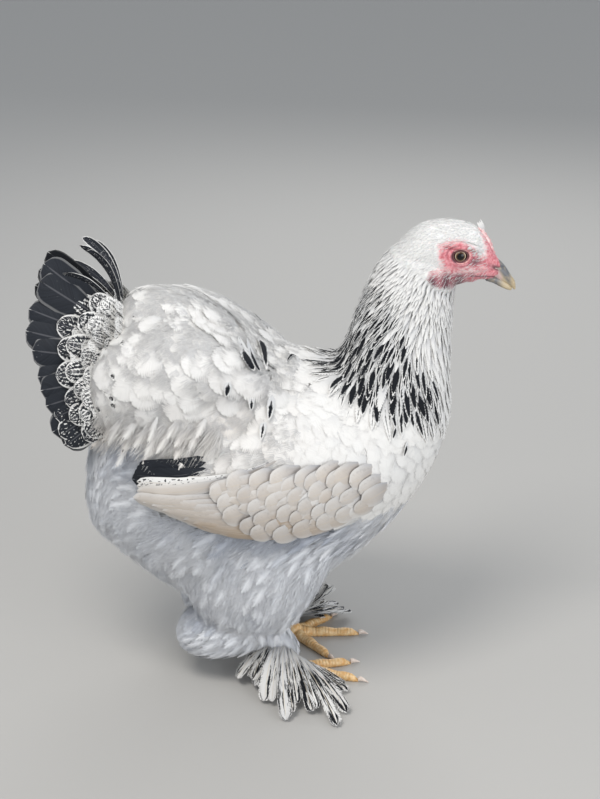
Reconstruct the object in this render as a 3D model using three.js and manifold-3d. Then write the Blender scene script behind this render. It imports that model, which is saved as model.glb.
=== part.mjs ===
// A standing light brahma hen, life size, as a still museum model.
//
// The body, neck and head are one lofted skin, parted by thin plane cuts into named pieces.
// Wings, tail, hackle cape and foot feathers are overlapping vanes in tiers, fused to what they grow from.
// Millimetres, +X towards the bill, +Y to the bird's left, +Z up, floor at z = 0.

import * as THREE from "three";
import { mergeVertices } from "three/addons/utils/BufferGeometryUtils.js";
import Module from "manifold-3d";

const wasm = await Module();
wasm.setup();

// Driving dimensions
const GAP = 0.3; // clearance that touching pieces keep
const RIGHT = -1; // sign of y on the bird's right side
const LEFT = 1;
const FLOOR = -7; // level of the floor below the sections' zero
const FOOT_Y = 34; // half the distance between the feet
const ANKLE_X = -6;
const TOE_RADIUS = 5;
const EYE = { x: 141, y: 13.6, z: 404, radius: 7.5 };
const FLIGHT_THICK = 1.1;
const COVERT_THICK = 1.0;
const FEATHER_FLOOR = 1.0; // lowest level of a foot feather above the floor

// Colours of the finishes
const WHITE = { color: 0xe9e6de, roughness: 0.85 };
const FLUFF = { color: 0xc9ccd2, roughness: 0.95 };
const BLACK = { color: 0x1d2022, roughness: 0.6 };
const FACE = { color: 0xcf7a78, roughness: 0.6 };
const HORN = { color: 0xb49a5c, roughness: 0.4 };
const TOES = { color: 0xd9a45f, roughness: 0.6 };
const CLAW = { color: 0xd8cbb6, roughness: 0.45 };
const EYEBALL = { color: 0x8a4b22, roughness: 0.1 };

// Joining and cutting

function solid(geometry) {
  const bare = geometry.clone();
  for (const name of Object.keys(bare.attributes)) {
    if (name !== "position") bare.deleteAttribute(name);
  }
  const merged = mergeVertices(bare, 1e-4);
  const made = new wasm.Manifold(
    new wasm.Mesh({
      numProp: 3,
      vertProperties: new Float32Array(merged.attributes.position.array),
      triVerts: new Uint32Array(merged.index.array),
    }),
  );
  if (made.volume() <= 0) throw new Error("a piece is inside out or empty");
  return made;
}

function join(pieces) {
  return pieces.reduce((sum, piece) => sum.add(piece));
}

// The largest closed surface: it fills sealed hollows and drops loose scraps.
function largest(shape) {
  return shape
    .decompose()
    .reduce((best, body) => (body.volume() > best.volume() ? body : best));
}

function geometryOf(shape) {
  const mesh = shape.getMesh();
  const positions = new Float32Array(mesh.numVert * 3);
  for (let i = 0; i < mesh.numVert; i++) {
    positions.set(mesh.vertProperties.subarray(i * mesh.numProp, i * mesh.numProp + 3), i * 3);
  }
  const geometry = new THREE.BufferGeometry();
  geometry.setAttribute("position", new THREE.BufferAttribute(positions, 3));
  geometry.setIndex(new THREE.BufferAttribute(mesh.triVerts, 1));
  return geometry;
}

const HALF_SPACE = 1200; // edge of the blocks that stand for half of space

// A large block with one face on the plane, on the side that the normal points to.
function halfSpace(point, normal, gap) {
  const size = HALF_SPACE;
  const direction = new THREE.Vector3(...normal).normalize();
  const block = new THREE.BoxGeometry(size, size, size);
  block.translate(0, 0, size / 2 + gap / 2);
  block.applyQuaternion(
    new THREE.Quaternion().setFromUnitVectors(new THREE.Vector3(0, 0, 1), direction),
  );
  block.translate(...point);
  return solid(block);
}

// Keeps what lies beyond the plane on the normal's side.
function beyond(shape, point, normal) {
  return shape.subtract(halfSpace(point, normal.map((n) => -n), -GAP));
}

// Lofts: each station is [x, y, z, half width, rise above the path, fall below it]

function loft({ stations, steps, sides, power = 2.1, up = [0, 0, 1], plumb = null, grow = 0 }) {
  const centres = new THREE.CatmullRomCurve3(
    stations.map((s) => new THREE.Vector3(s[0], s[1], s[2])),
    false,
    "catmullrom",
    0.5,
  );
  const sizes = new THREE.CatmullRomCurve3(
    stations.map((s) => new THREE.Vector3(s[3], s[4], s[5])),
    false,
    "catmullrom",
    0.5,
  );
  const reference = new THREE.Vector3(...up);
  const points = [];
  const triangles = [];
  const curl = (value) => Math.sign(value) * Math.abs(value) ** (2 / power);
  for (let i = 0; i <= steps; i++) {
    const t = i / steps;
    const centre = centres.getPoint(t);
    const size = sizes.getPoint(t);
    const along = plumb ? new THREE.Vector3(...plumb) : centres.getTangent(t);
    const rise = reference.clone().addScaledVector(along, -reference.dot(along)).normalize();
    const side = new THREE.Vector3().crossVectors(rise, along);
    const end = i === 0 ? -grow : i === steps ? grow : 0;
    centre.addScaledVector(along, end);
    for (let k = 0; k < sides; k++) {
      const angle = (2 * Math.PI * k) / sides;
      const c = curl(Math.cos(angle));
      const s = curl(Math.sin(angle));
      const width = Math.max(size.x, 0.15) + grow;
      const height = Math.max(s >= 0 ? size.y : size.z, 0.15) + grow;
      const p = centre.clone().addScaledVector(side, width * c).addScaledVector(rise, height * s);
      points.push(p.x, p.y, p.z);
    }
  }
  const at = (i, k) => i * sides + (k % sides);
  for (let i = 0; i < steps; i++) {
    for (let k = 0; k < sides; k++) {
      triangles.push(at(i, k), at(i, k + 1), at(i + 1, k));
      triangles.push(at(i, k + 1), at(i + 1, k + 1), at(i + 1, k));
    }
  }
  for (let k = 1; k < sides - 1; k++) {
    triangles.push(at(0, 0), at(0, k + 1), at(0, k));
    triangles.push(at(steps, 0), at(steps, k), at(steps, k + 1));
  }
  return surface(points, triangles);
}

function surface(points, triangles) {
  const geometry = new THREE.BufferGeometry();
  geometry.setAttribute("position", new THREE.BufferAttribute(new Float32Array(points), 3));
  geometry.setIndex(triangles);
  return geometry;
}

// Vanes: a plate three points wide, from rows of [left, middle, right], thickened against the normal,
// with the edges of the last row pulled back, so that the middle point rounds the tip.

const ROUND_VANE = { at: [0, 1], width: [0.85, 0.86], pull: 0.2 };
const LONG_VANE = { at: [0, 0.6, 1], width: [0.55, 1, 0.72], pull: 0.1 };
const POINTED_VANE = { at: [0, 0.5, 1], width: [0.85, 1, 0.16], pull: 0.04 };

function plate(rows, normals, thickness) {
  const points = [];
  const triangles = [];
  const columns = 3;
  const top = rows.length * columns;
  rows.forEach((row) => row.forEach((p) => points.push(p.x, p.y, p.z)));
  rows.forEach((row, i) =>
    row.forEach((p) => {
      const q = p.clone().addScaledVector(normals[i], -thickness);
      points.push(q.x, q.y, q.z);
    }),
  );
  const quad = (a, b, c, d) => triangles.push(a, b, c, a, c, d);
  for (let i = 0; i < rows.length - 1; i++) {
    for (let j = 0; j < columns - 1; j++) {
      const a = i * columns + j;
      quad(a, a + columns, a + columns + 1, a + 1);
      quad(top + a, top + a + 1, top + a + columns + 1, top + a + columns);
    }
    const left = i * columns;
    const right = left + columns - 1;
    quad(left, top + left, top + left + columns, left + columns);
    quad(right, right + columns, top + right + columns, top + right);
  }
  const last = (rows.length - 1) * columns;
  for (let j = 0; j < columns - 1; j++) {
    quad(j, j + 1, top + j + 1, top + j);
    quad(last + j, top + last + j, top + last + j + 1, last + j + 1);
  }
  return facingOut(surface(points, triangles));
}

function signedVolume(geometry) {
  const p = geometry.attributes.position;
  const index = geometry.index.array;
  const corner = (i) => new THREE.Vector3().fromBufferAttribute(p, index[i]);
  let sum = 0;
  for (let i = 0; i < index.length; i += 3) {
    sum += corner(i).dot(corner(i + 1).cross(corner(i + 2)));
  }
  return sum;
}

function facingOut(geometry) {
  if (signedVolume(geometry) > 0) return geometry;
  const index = geometry.index.array;
  for (let i = 0; i < index.length; i += 3) {
    [index[i + 1], index[i + 2]] = [index[i + 2], index[i + 1]];
  }
  return geometry;
}

// A free vane along a bent line from root to tip. across is its width direction, ridge its shaft's height.
function freeVane({ root, bend, tip, across, width, thickness, form = LONG_VANE, ridge = 1.2 }) {
  const line = new THREE.QuadraticBezierCurve3(root, bend, tip);
  const rows = [];
  const normals = [];
  form.at.forEach((t, i) => {
    const centre = line.getPoint(t);
    const edge = line.getPoint(i === form.at.length - 1 ? t - form.pull : t);
    const along = line.getTangent(t);
    const side = across.clone().addScaledVector(along, -across.dot(along)).normalize();
    const normal = new THREE.Vector3().crossVectors(along, side);
    const half = (width / 2) * form.width[i];
    rows.push([
      edge.clone().addScaledVector(side, -half),
      centre.clone().addScaledVector(normal, ridge * form.width[i]),
      edge.clone().addScaledVector(side, half),
    ]);
    normals.push(normal);
  });
  return solid(plate(rows, normals, thickness));
}

const mix = (a, b, t) => a + (b - a) * t;
const point = (x, y, z) => new THREE.Vector3(x, y, z);

// Trunk: vertical sections from the fluff under the tail to the breast.
// Each row is x, top of the back, underside, level of the greatest width, half width.

const TRUNK = [
  [-200, 177, 160, 168, 6],
  [-193, 232, 138, 172, 34],
  [-180, 300, 127, 180, 55],
  [-158, 358, 109, 190, 73],
  [-132, 369, 87, 202, 87],
  [-100, 364, 68, 206, 96],
  [-65, 346, 62, 206, 101],
  [-30, 319, 66, 206, 101],
  [5, 305, 80, 208, 97],
  [40, 301, 106, 214, 90],
  [75, 297, 138, 222, 78],
  [105, 290, 170, 235, 60],
  [126, 282, 206, 248, 38],
  [138, 274, 244, 260, 12],
];
const TRUNK_POWER = 2.2;

const trunkStations = TRUNK.map(([x, top, under, widest, half]) => [
  x,
  0,
  widest,
  half,
  top - widest,
  widest - under,
]);

function trunk(grow) {
  return solid(
    loft({
      stations: trunkStations,
      steps: 18,
      sides: 22,
      power: TRUNK_POWER,
      plumb: [1, 0, 0],
      grow,
    }),
  );
}

// Distance of the trunk's flank from the middle plane at a place in the side view.
function flank(x, z) {
  const last = trunkStations.length - 1;
  const i = Math.max(0, Math.min(last - 1, trunkStations.findIndex((s) => s[0] > x) - 1));
  const [a, b] = [trunkStations[i], trunkStations[i + 1]];
  const t = THREE.MathUtils.clamp((x - a[0]) / (b[0] - a[0]), 0, 1);
  const [widest, half, rise, fall] = [2, 3, 4, 5].map((k) => mix(a[k], b[k], t));
  const level = Math.min(0.97, Math.abs(z - widest) / (z > widest ? rise : fall));
  return half * (1 - level ** TRUNK_POWER) ** (1 / TRUNK_POWER);
}

// Cushion: the puffed saddle feathers, a lobe on each side of the back

const CUSHION = [
  [-192, 44, 292, 4, 5, 5],
  [-180, 46, 292, 26, 30, 34],
  [-152, 47, 294, 40, 50, 54],
  [-115, 47, 298, 45, 57, 64],
  [-80, 48, 300, 43, 47, 56],
  [-52, 49, 298, 36, 34, 42],
  [-24, 48, 286, 29, 26, 32],
  [2, 46, 270, 18, 16, 20],
];

function onSide(stations, side) {
  return stations.map(([x, y, ...rest]) => [x, y * side, ...rest]);
}

function cushion(side, grow) {
  const stations = onSide(CUSHION, side);
  return solid(loft({ stations, steps: 9, sides: 12, plumb: [1, 0, 0], grow }));
}

// Neck: leaning sections from inside the chest to the back of the head.
// Half sizes are sideways, towards the throat and towards the nape.

const NECK = [
  [62, 0, 200, 50, 54, 60],
  [70, 0, 228, 62, 62, 66],
  [76, 0, 254, 64, 61, 66],
  [85, 0, 284, 57, 53, 57],
  [91, 0, 310, 47, 47, 50],
  [96, 0, 335, 39, 42, 48],
  [101, 0, 358, 33, 38, 44],
  [108, 0, 378, 28, 33, 41],
  [114, 0, 396, 22, 25, 34],
  [118, 0, 410, 12, 13, 18],
];

function neckCore(grow) {
  return solid(loft({ stations: NECK, steps: 10, sides: 16, up: [1, 0, 0.1], grow }));
}

// Head: sections from the nape to the root of the bill

const HEAD = [
  [82, 0, 396, 8, 6, 12],
  [92, 0, 397, 17, 18, 25],
  [108, 0, 400, 21, 28, 32],
  [126, 0, 400, 21, 32, 31],
  [142, 0, 399, 19.6, 32, 27],
  [155, 0, 398, 17.6, 28.5, 22.5],
  [165, 0, 396, 14.2, 20.5, 20.5],
  [171.5, 0, 391.5, 10.8, 12.5, 15.5],
  [177, 0, 387.5, 7.8, 7.5, 10.5],
  [181.5, 0, 385, 3.8, 3.4, 5.5],
];

const HEAD_POWER = 2.15;

function skull(grow) {
  return solid(
    loft({ stations: HEAD, steps: 14, sides: 16, power: HEAD_POWER, plumb: [1, 0, 0], grow }),
  );
}

function ball(x, y, z, radius, stretch = [1, 1, 1], around = 12, high = 8) {
  const geometry = new THREE.SphereGeometry(radius, around, high);
  geometry.scale(...stretch);
  geometry.translate(x, y, z);
  return solid(geometry);
}

// Upper and lower lids as one raised rim round each eye, drawn to a point at its corners.
const LID = { radius: EYE.radius * 0.8, thick: 1.25, stretch: [1.16, 1, 0.9], turn: 0.12, y: 19.2 };

function lids(side) {
  const rim = new THREE.TorusGeometry(LID.radius, LID.thick, 4, 12);
  rim.rotateX(Math.PI / 2);
  rim.scale(...LID.stretch);
  rim.rotateZ(side * LID.turn);
  rim.translate(EYE.x, side * LID.y, EYE.z);
  return solid(rim);
}

// The brow that overhangs the eye, which marks the breed.
const BROW = [
  [122, 15.5, 414, 2, 2, 2],
  [132, 18, 414, 3.6, 3.6, 3.2],
  [144, 18.2, 413.4, 3.8, 3.4, 2.8],
  [155, 15.6, 410, 3.2, 3, 2.6],
  [163, 11.6, 405, 1.6, 1.6, 1.6],
];

function brow(side) {
  return solid(loft({ stations: onSide(BROW, side), steps: 5, sides: 7 }));
}

// The small wattles and the folds of bare skin behind the jaw.
const WATTLE = [
  [161, 5.5, 377.5, 2, 2, 2],
  [154, 7.5, 375.5, 3.4, 4.6, 5.4],
  [145, 11.5, 378.5, 3.4, 4.4, 4.6],
  [135, 16, 383, 3, 4.2, 4.4],
  [127, 18.6, 387, 1.4, 2, 2],
];

function wattle(side) {
  return solid(loft({ stations: onSide(WATTLE, side), steps: 6, sides: 6 }));
}

// The pale ear lobe below the tuft that covers the ear.
const LOBE = { at: [124, 18.8, 391], radius: 6.5, stretch: [0.8, 0.4, 1.2] };

function lobe(side) {
  const [x, y, z] = LOBE.at;
  return ball(x, side * y, z, LOBE.radius, LOBE.stretch, 8, 6);
}

// Bill

const UPPER_BILL = [
  [170, 0, 391.2, 7.4, 7.2, 8.6],
  [174.9, 0, 388, 7, 7, 9],
  [179.9, 0, 383.9, 5.8, 5.8, 8.6],
  [184.9, 0, 378.8, 4.3, 4.2, 6.6],
  [189.8, 0, 373.7, 2.5, 2.9, 3.8],
  [192.8, 0, 367.2, 0.6, 0.7, 0.8],
];
const LOWER_BILL = [
  [167, 0, 378.6, 6, 3.4, 3.4],
  [174.2, 0, 376, 5.4, 4, 3.2],
  [180.5, 0, 372.3, 4.2, 3.8, 3],
  [185.8, 0, 368.8, 2.6, 2.6, 2],
  [189.6, 0, 366.6, 0.8, 0.8, 0.8],
];
const NOSTRIL = { at: [181, 4.8, 388.7], half: [3, 1.6, 1.05], slope: 0.5 };
const GAPE = { at: [164, 0, 382], size: [22, 40, 0.8], slope: 0.12 };

function bill(stations, grow) {
  return solid(loft({ stations, steps: 7, sides: 10, up: [0.7, 0, 0.7], grow }));
}

function nostril(side) {
  const slit = new THREE.SphereGeometry(1, 8, 6);
  slit.scale(...NOSTRIL.half);
  slit.rotateY(NOSTRIL.slope);
  slit.translate(NOSTRIL.at[0], side * NOSTRIL.at[1], NOSTRIL.at[2]);
  return solid(slit);
}

// The gape: the line of the mouth running back into the cheek.
function gape() {
  const slot = new THREE.BoxGeometry(...GAPE.size);
  slot.rotateY(GAPE.slope);
  slot.translate(...GAPE.at);
  return solid(slot);
}

// Pea comb: a low base on the forehead with three rows of beads

const COMB_LINE = new THREE.QuadraticBezierCurve3(
  point(158, 0, 425),
  point(166.8, 0, 415.1),
  point(172.8, 0, 399.6),
);
const COMB_BASE = { half: 4.8, rise: 2.2, fall: 4 };
const MIDDLE_BEADS = { count: 4, y: 0, size: 2, raise: 0.8 };
const OUTER_BEADS = { count: 3, y: 3.4, size: 1.6, raise: 0.2 };

function comb() {
  const base = loft({
    stations: [0, 0.3, 0.65, 1].map((t) => {
      const p = COMB_LINE.getPoint(t);
      const full = Math.sin(Math.PI * mix(0.12, 0.88, t));
      return [p.x, 0, p.z, COMB_BASE.half * full, COMB_BASE.rise * full, COMB_BASE.fall];
    }),
    steps: 4,
    sides: 7,
    up: [0.6, 0, 0.8],
  });
  const beads = [];
  for (const row of [-1, 0, 1]) {
    const { count, y, size, raise } = row === 0 ? MIDDLE_BEADS : OUTER_BEADS;
    for (let i = 0; i < count; i++) {
      const t = (i + 0.5) / count;
      const outward = COMB_LINE.getTangent(t).cross(point(0, -1, 0));
      const p = COMB_LINE.getPoint(t).addScaledVector(outward, raise);
      beads.push(ball(p.x, row * y, p.z, size, [1, 1, 1], 5, 4));
    }
  }
  return join([solid(base), ...beads]);
}

// Wing: a pad on the flank with the flights and three tiers of coverts laid over it.
// Each row is x, lower edge, upper edge in the side view.

const WING = [
  [-147, 203, 213],
  [-124, 188, 227],
  [-84, 176, 244],
  [-44, 168, 264],
  [-9, 165, 272],
  [30, 169, 264],
  [62, 178, 247],
  [84, 190, 230],
  [96, 203, 217],
];
const WING_PAD = 9;
const WING_COAT = 6.2; // what the coverts add outside the pad
const WING_RIM = 12; // what they add to its edges
const ROOT_DEPTH = -2.4; // how far a laid vane's root is sunk
const SHINGLE = 1.1; // a laid vane's lower edge stands out over its neighbour by twice this
const WING_TIP_STANDS_OFF = 9;
const WING_TIP_THICK = 5;
const WING_BEDDED = 6; // how deep the pad's inner face lies under the flank, away from the tip

function wingEdges(x) {
  const last = WING.length - 1;
  const i = Math.max(0, Math.min(last - 1, WING.findIndex((w) => w[0] > x) - 1));
  const t = THREE.MathUtils.clamp((x - WING[i][0]) / (WING[i + 1][0] - WING[i][0]), 0, 1);
  return [mix(WING[i][1], WING[i + 1][1], t), mix(WING[i][2], WING[i + 1][2], t)];
}

// Distance of the wing's outer face from the middle plane.
function wingFace(x, z) {
  const [low, high] = wingEdges(x);
  const across = THREE.MathUtils.clamp((z - low) / (high - low), 0, 1);
  const along = THREE.MathUtils.clamp((x - WING[0][0]) / (WING.at(-1)[0] - WING[0][0]), 0, 1);
  const crown = Math.sin(Math.PI * across) ** 0.6 * Math.sin(Math.PI * mix(0.12, 1, along)) ** 0.7;
  return flank(x, z) + 3 + WING_PAD * crown + WING_TIP_STANDS_OFF * (1 - along) ** 2;
}

function wingPad(side, extra = 0, edge = 0) {
  const steps = 10;
  const across = 4;
  const points = [];
  const triangles = [];
  for (const face of [0, 1]) {
    for (let i = 0; i <= steps; i++) {
      const x = mix(WING[0][0], WING.at(-1)[0], i / steps);
      const [low, high] = wingEdges(x);
      for (let j = 0; j <= across; j++) {
        const z = mix(low - edge, high + edge, j / across);
        const bedded = THREE.MathUtils.smoothstep(x, WING[0][0], WING[2][0]);
        const inner = mix(wingFace(x, z) - WING_TIP_THICK, flank(x, z) - WING_BEDDED, bedded);
        const y = face ? inner : wingFace(x, z) + extra;
        points.push(x, y, z);
      }
    }
  }
  const row = across + 1;
  const back = (steps + 1) * row;
  const quad = (a, b, c, d) => triangles.push(a, b, c, a, c, d);
  for (let i = 0; i < steps; i++) {
    for (let j = 0; j < across; j++) {
      const a = i * row + j;
      quad(a, a + 1, a + row + 1, a + row);
      quad(back + a, back + a + row, back + a + row + 1, back + a + 1);
    }
    const low = i * row;
    const high = low + across;
    quad(low, low + row, back + low + row, back + low);
    quad(high, back + high, back + high + row, high + row);
  }
  const end = steps * row;
  for (let j = 0; j < across; j++) {
    quad(j, back + j, back + j + 1, j + 1);
    quad(end + j, end + j + 1, back + end + j + 1, back + end + j);
  }
  return solid(sided(surface(points, triangles), side));
}

// Work on a wing is done on positive y. This carries it to its side.
function sided(geometry, side) {
  const p = geometry.attributes.position;
  for (let i = 0; i < p.count; i++) p.setY(i, p.getY(i) * side);
  return facingOut(geometry);
}

// A vane laid on the wing between two places in the side view. sag bows it downwards.
function wingVane({ side, from, to, width, sag, lift, form, thickness }) {
  const rows = [];
  const normals = [];
  const direction = new THREE.Vector2(to[0] - from[0], to[1] - from[1]).normalize();
  const across = new THREE.Vector2(-direction.y, direction.x);
  form.at.forEach((t, i) => {
    const half = (width / 2) * form.width[i];
    const row = [-1, 0, 1].map((edge) => {
      const u = edge && i === form.at.length - 1 ? t - form.pull : t;
      const ex = mix(from[0], to[0], u) + across.x * half * edge;
      const ez = mix(from[1], to[1], u) - sag * 4 * u * (1 - u) + across.y * half * edge;
      const raise = mix(ROOT_DEPTH, lift, Math.min(1, u * 1.5)) - edge * SHINGLE;
      return point(ex, wingFace(ex, ez) + raise, ez);
    });
    rows.push(row);
    normals.push(point(0, 1, 0));
  });
  return solid(sided(plate(rows, normals, thickness), side));
}

// A tier: its first and last vane's root and tip, spread evenly between.
const WING_TIERS = [
  {
    count: 2,
    first: [[-62, 246], [-136, 229]],
    last: [[-56, 238], [-143, 220]],
    width: 15,
    sag: 2,
    lift: [-0.6, 0.2],
    form: ROUND_VANE,
    thickness: FLIGHT_THICK,
  },
  {
    count: 5,
    first: [[50, 187], [-84, 185]],
    last: [[-20, 233], [-150, 211]],
    width: 25,
    sag: 9,
    lift: [1.0, 3.2],
    form: LONG_VANE,
    thickness: FLIGHT_THICK,
  },
  {
    count: 4,
    first: [[70, 196], [4, 180]],
    last: [[2, 248], [-68, 229]],
    width: 29,
    sag: 4,
    lift: [3.2, 4.2],
    form: ROUND_VANE,
    thickness: COVERT_THICK,
  },
  {
    count: 5,
    first: [[86, 206], [42, 189]],
    last: [[40, 256], [-20, 252]],
    width: 25,
    sag: 3,
    lift: [4, 4.8],
    form: ROUND_VANE,
    thickness: COVERT_THICK,
  },
];

function wing(side) {
  const vanes = WING_TIERS.flatMap(({ count, first, last, lift, ...rest }) =>
    Array.from({ length: count }, (_, i) => {
      const t = i / (count - 1);
      const between = (k) => [mix(first[k][0], last[k][0], t), mix(first[k][1], last[k][1], t)];
      return wingVane({
        side,
        from: between(0),
        to: between(1),
        lift: mix(lift[0], lift[1], t),
        ...rest,
      });
    }),
  );
  return join([wingPad(side), ...vanes]);
}

// Tail: an upright fan on each side, rounded vanes in three tiers over a short core

const FAN_HUB = point(-122, 0, 303);
const FAN_CREST = 1.2; // share of a tier's reach at the top of the tail and below its middle
const FAN_FOOT = 0.94;
const FAN_HALF_GAP = 7; // distance of a tip from the middle plane at the crest
const FAN_SPREAD = 46; // and what is added to it at the foot of the fan
const FAN_ROOT_SHARE = 0.55; // how much of that distance a root has, beside FAN_ROOT_OFF
const FAN_ROOT_OFF = 4;
const FAN_BOW = { y: 5, z: 3 }; // how far a vane bows out and up
const FAN_LEAN = [62, 84]; // degrees that a vane's width leans, at the crest and at the foot
const FAN_RIDGE = 1.4;
const FAN_TIERS = [
  { count: 7, reach: 121, width: 33, top: 41, bottom: -37, out: 0, start: 0.45, form: LONG_VANE },
  { count: 5, reach: 101, width: 31, top: 34, bottom: -40, out: 6, start: 0.55, form: ROUND_VANE },
  { count: 3, reach: 80, width: 31, top: 46, bottom: -30, out: 12, start: 0.6, form: ROUND_VANE },
];

function fanVane(side, tier, i) {
  const q = i / (tier.count - 1);
  const angle = THREE.MathUtils.degToRad(mix(tier.top, tier.bottom, q));
  const spread = FAN_HALF_GAP + tier.out + FAN_SPREAD * Math.sin((q * Math.PI) / 2);
  const reach = tier.reach * mix(FAN_CREST, FAN_FOOT, Math.min(1, q * 1.6));
  const away = point(-Math.cos(angle), 0, Math.sin(angle));
  const tip = FAN_HUB.clone().addScaledVector(away, reach);
  tip.y = side * spread;
  const root = FAN_HUB.clone().addScaledVector(away, reach * tier.start);
  root.y = side * (spread * FAN_ROOT_SHARE + FAN_ROOT_OFF);
  const bend = root.clone().lerp(tip, 0.5);
  bend.y = side * (spread + FAN_BOW.y);
  bend.z += FAN_BOW.z;
  const lean = THREE.MathUtils.degToRad(mix(FAN_LEAN[0], FAN_LEAN[1], q));
  const across = point(
    Math.sin(angle) * Math.sin(lean),
    -side * Math.cos(lean),
    Math.cos(angle) * Math.sin(lean),
  );
  return freeVane({
    root,
    bend,
    tip,
    across: across.multiplyScalar(side),
    width: tier.width,
    thickness: FLIGHT_THICK,
    form: tier.form,
    ridge: FAN_RIDGE,
  });
}

// The narrow curled coverts that stand up from the top of the tail, between the saddle and the fan.
const CURL_ROOT = point(-172, 9, 330);
const CURLS = [
  { side: RIGHT, tip: [-196, 12, 413], bend: [-166, 10, 398], width: 8 },
  { side: LEFT, tip: [-188, 14, 409], bend: [-164, 12, 398], width: 8 },
  { side: RIGHT, tip: [-211, 17, 388], bend: [-184, 13, 384], width: 9 },
];

function curl({ side, tip, bend, width }) {
  return freeVane({
    root: point(CURL_ROOT.x, side * CURL_ROOT.y, CURL_ROOT.z),
    bend: point(bend[0], side * bend[1], bend[2]),
    tip: point(tip[0], side * tip[1], tip[2]),
    across: point(0.3, 0.9 * side, 0.3),
    width,
    thickness: COVERT_THICK,
    ridge: 0.8,
  });
}

const TAIL_CORE = [
  [-136, 0, 300, 40, 44, 60],
  [-160, 0, 300, 44, 44, 52],
  [-180, 0, 302, 38, 36, 40],
  [-196, 0, 304, 28, 26, 28],
  [-206, 0, 305, 14, 12, 14],
];

function tailCore() {
  return solid(loft({ stations: TAIL_CORE, steps: 4, sides: 10 }));
}

function tail() {
  const vanes = [RIGHT, LEFT].flatMap((side) =>
    FAN_TIERS.flatMap((tier) =>
      Array.from({ length: tier.count }, (_, i) => fanVane(side, tier, i)),
    ),
  );
  return join([tailCore(), ...vanes, ...CURLS.map(curl)]);
}

// Hackle cape: pointed vanes hanging round the neck, laid over the neck and the shoulders.
// turns are degrees round the neck from the nape, on each side, and levels run from nape to throat.

const CAPE_STAGGER = 1.3; // every other vane of a tier stands off this much more than its neighbours
const CAPE_TIERS = [
  { levels: [346, 330], length: 58, turns: [14, 122], count: 4, width: 21, lift: 3.4 },
  { levels: [326, 308], length: 62, turns: [8, 138], count: 6, width: 23, lift: 2.2 },
];
const CAPE_LEAN = 0.15; // how far the vanes lean back for each unit down, on the side of the neck
const CAPE_SPREAD = 0.7; // and how much more at the nape, or less at the throat
const NECK_REACH = 58; // about the neck's radius at the cape
const SKIN_REACH = 40; // how far off the surface a ray starts when a vane is laid

function neckAxis(level) {
  const i = Math.max(0, Math.min(NECK.length - 2, NECK.findIndex((s) => s[2] > level) - 1));
  const t = (level - NECK[i][2]) / (NECK[i + 1][2] - NECK[i][2]);
  return point(mix(NECK[i][0], NECK[i + 1][0], t), 0, level);
}

// The host's surface met by looking along -normal through a place near it.
function surfaceAt(host, place, normal) {
  const ray = new THREE.Raycaster(
    place.clone().addScaledVector(normal, SKIN_REACH),
    normal.clone().negate(),
    0,
    SKIN_REACH * 2,
  );
  const hit = ray.intersectObject(host)[0];
  return hit ? { at: hit.point, normal: hit.face.normal.clone() } : { at: place, normal };
}

// A vane that follows the host's surface from its root along the heading.
function laidVane({ host, root, heading, length, width, form, lift }) {
  const rows = [];
  const normals = [];
  let here = root;
  let done = 0;
  form.at.forEach((t, i) => {
    const run = heading.clone().addScaledVector(here.normal, -heading.dot(here.normal)).normalize();
    if (t > done) {
      const next = here.at.clone().addScaledVector(run, (t - done) * length);
      const met = surfaceAt(host, next, here.normal);
      const normal = here.normal.clone().lerp(met.normal, 0.5).normalize();
      here = { at: met.at, normal };
      done = t;
    }
    const across = new THREE.Vector3().crossVectors(here.normal, run).normalize();
    const half = (width / 2) * form.width[i];
    const raise = mix(ROOT_DEPTH, lift, Math.min(1, t * 1.6));
    const back = i === form.at.length - 1 ? form.pull * length : 0;
    rows.push(
      [-1, 0, 1].map((edge) => {
        const aim = here.at.clone().addScaledVector(across, edge * half);
        const pulled = aim.addScaledVector(run, edge ? -back : 0);
        const met = surfaceAt(host, pulled, here.normal);
        return met.at.clone().addScaledVector(here.normal, raise + (edge ? 0 : COVERT_THICK / 2));
      }),
    );
    normals.push(here.normal);
  });
  return solid(plate(rows, normals, COVERT_THICK));
}

function capeVane(host, side, tier, i) {
  const q = i / (tier.count - 1);
  const degrees = mix(tier.turns[0], tier.turns[1], q);
  const turn = THREE.MathUtils.degToRad(degrees);
  const level = mix(tier.levels[0], tier.levels[1], Math.min(1, degrees / 80));
  const outward = point(-Math.cos(turn), side * Math.sin(turn), 0);
  const root = surfaceAt(host, neckAxis(level).addScaledVector(outward, NECK_REACH), outward);
  return laidVane({
    host,
    root,
    heading: point(-CAPE_LEAN - CAPE_SPREAD * Math.cos(turn), 0, -1),
    length: tier.length * mix(0.8, 1, Math.sin(Math.PI * q)),
    width: tier.width,
    form: POINTED_VANE,
    lift: tier.lift + (i % 2) * CAPE_STAGGER,
  });
}

function cape(host) {
  return [RIGHT, LEFT].flatMap((side) =>
    CAPE_TIERS.flatMap((tier) =>
      Array.from({ length: tier.count }, (_, i) => capeVane(host, side, tier, i)),
    ),
  );
}

// Legs: the fluffed thigh, the hock and shank with its boot of feathers, and the foot

const THIGH = [
  [-12, 44, 186, 32, 46, 56],
  [-18, 50, 160, 40, 58, 70],
  [-30, 52, 128, 42, 58, 74],
  [-42, 51, 102, 40, 57, 66],
  [-51, 48, 80, 35, 53, 56],
  [-57, 44, 64, 28, 47, 46],
  [-60, 41, 54, 15, 30, 28],
];

function thigh(side, grow) {
  const stations = onSide(THIGH, side);
  return solid(loft({ stations, steps: 8, sides: 14, up: [1, 0, 0.1], grow }));
}

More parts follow.
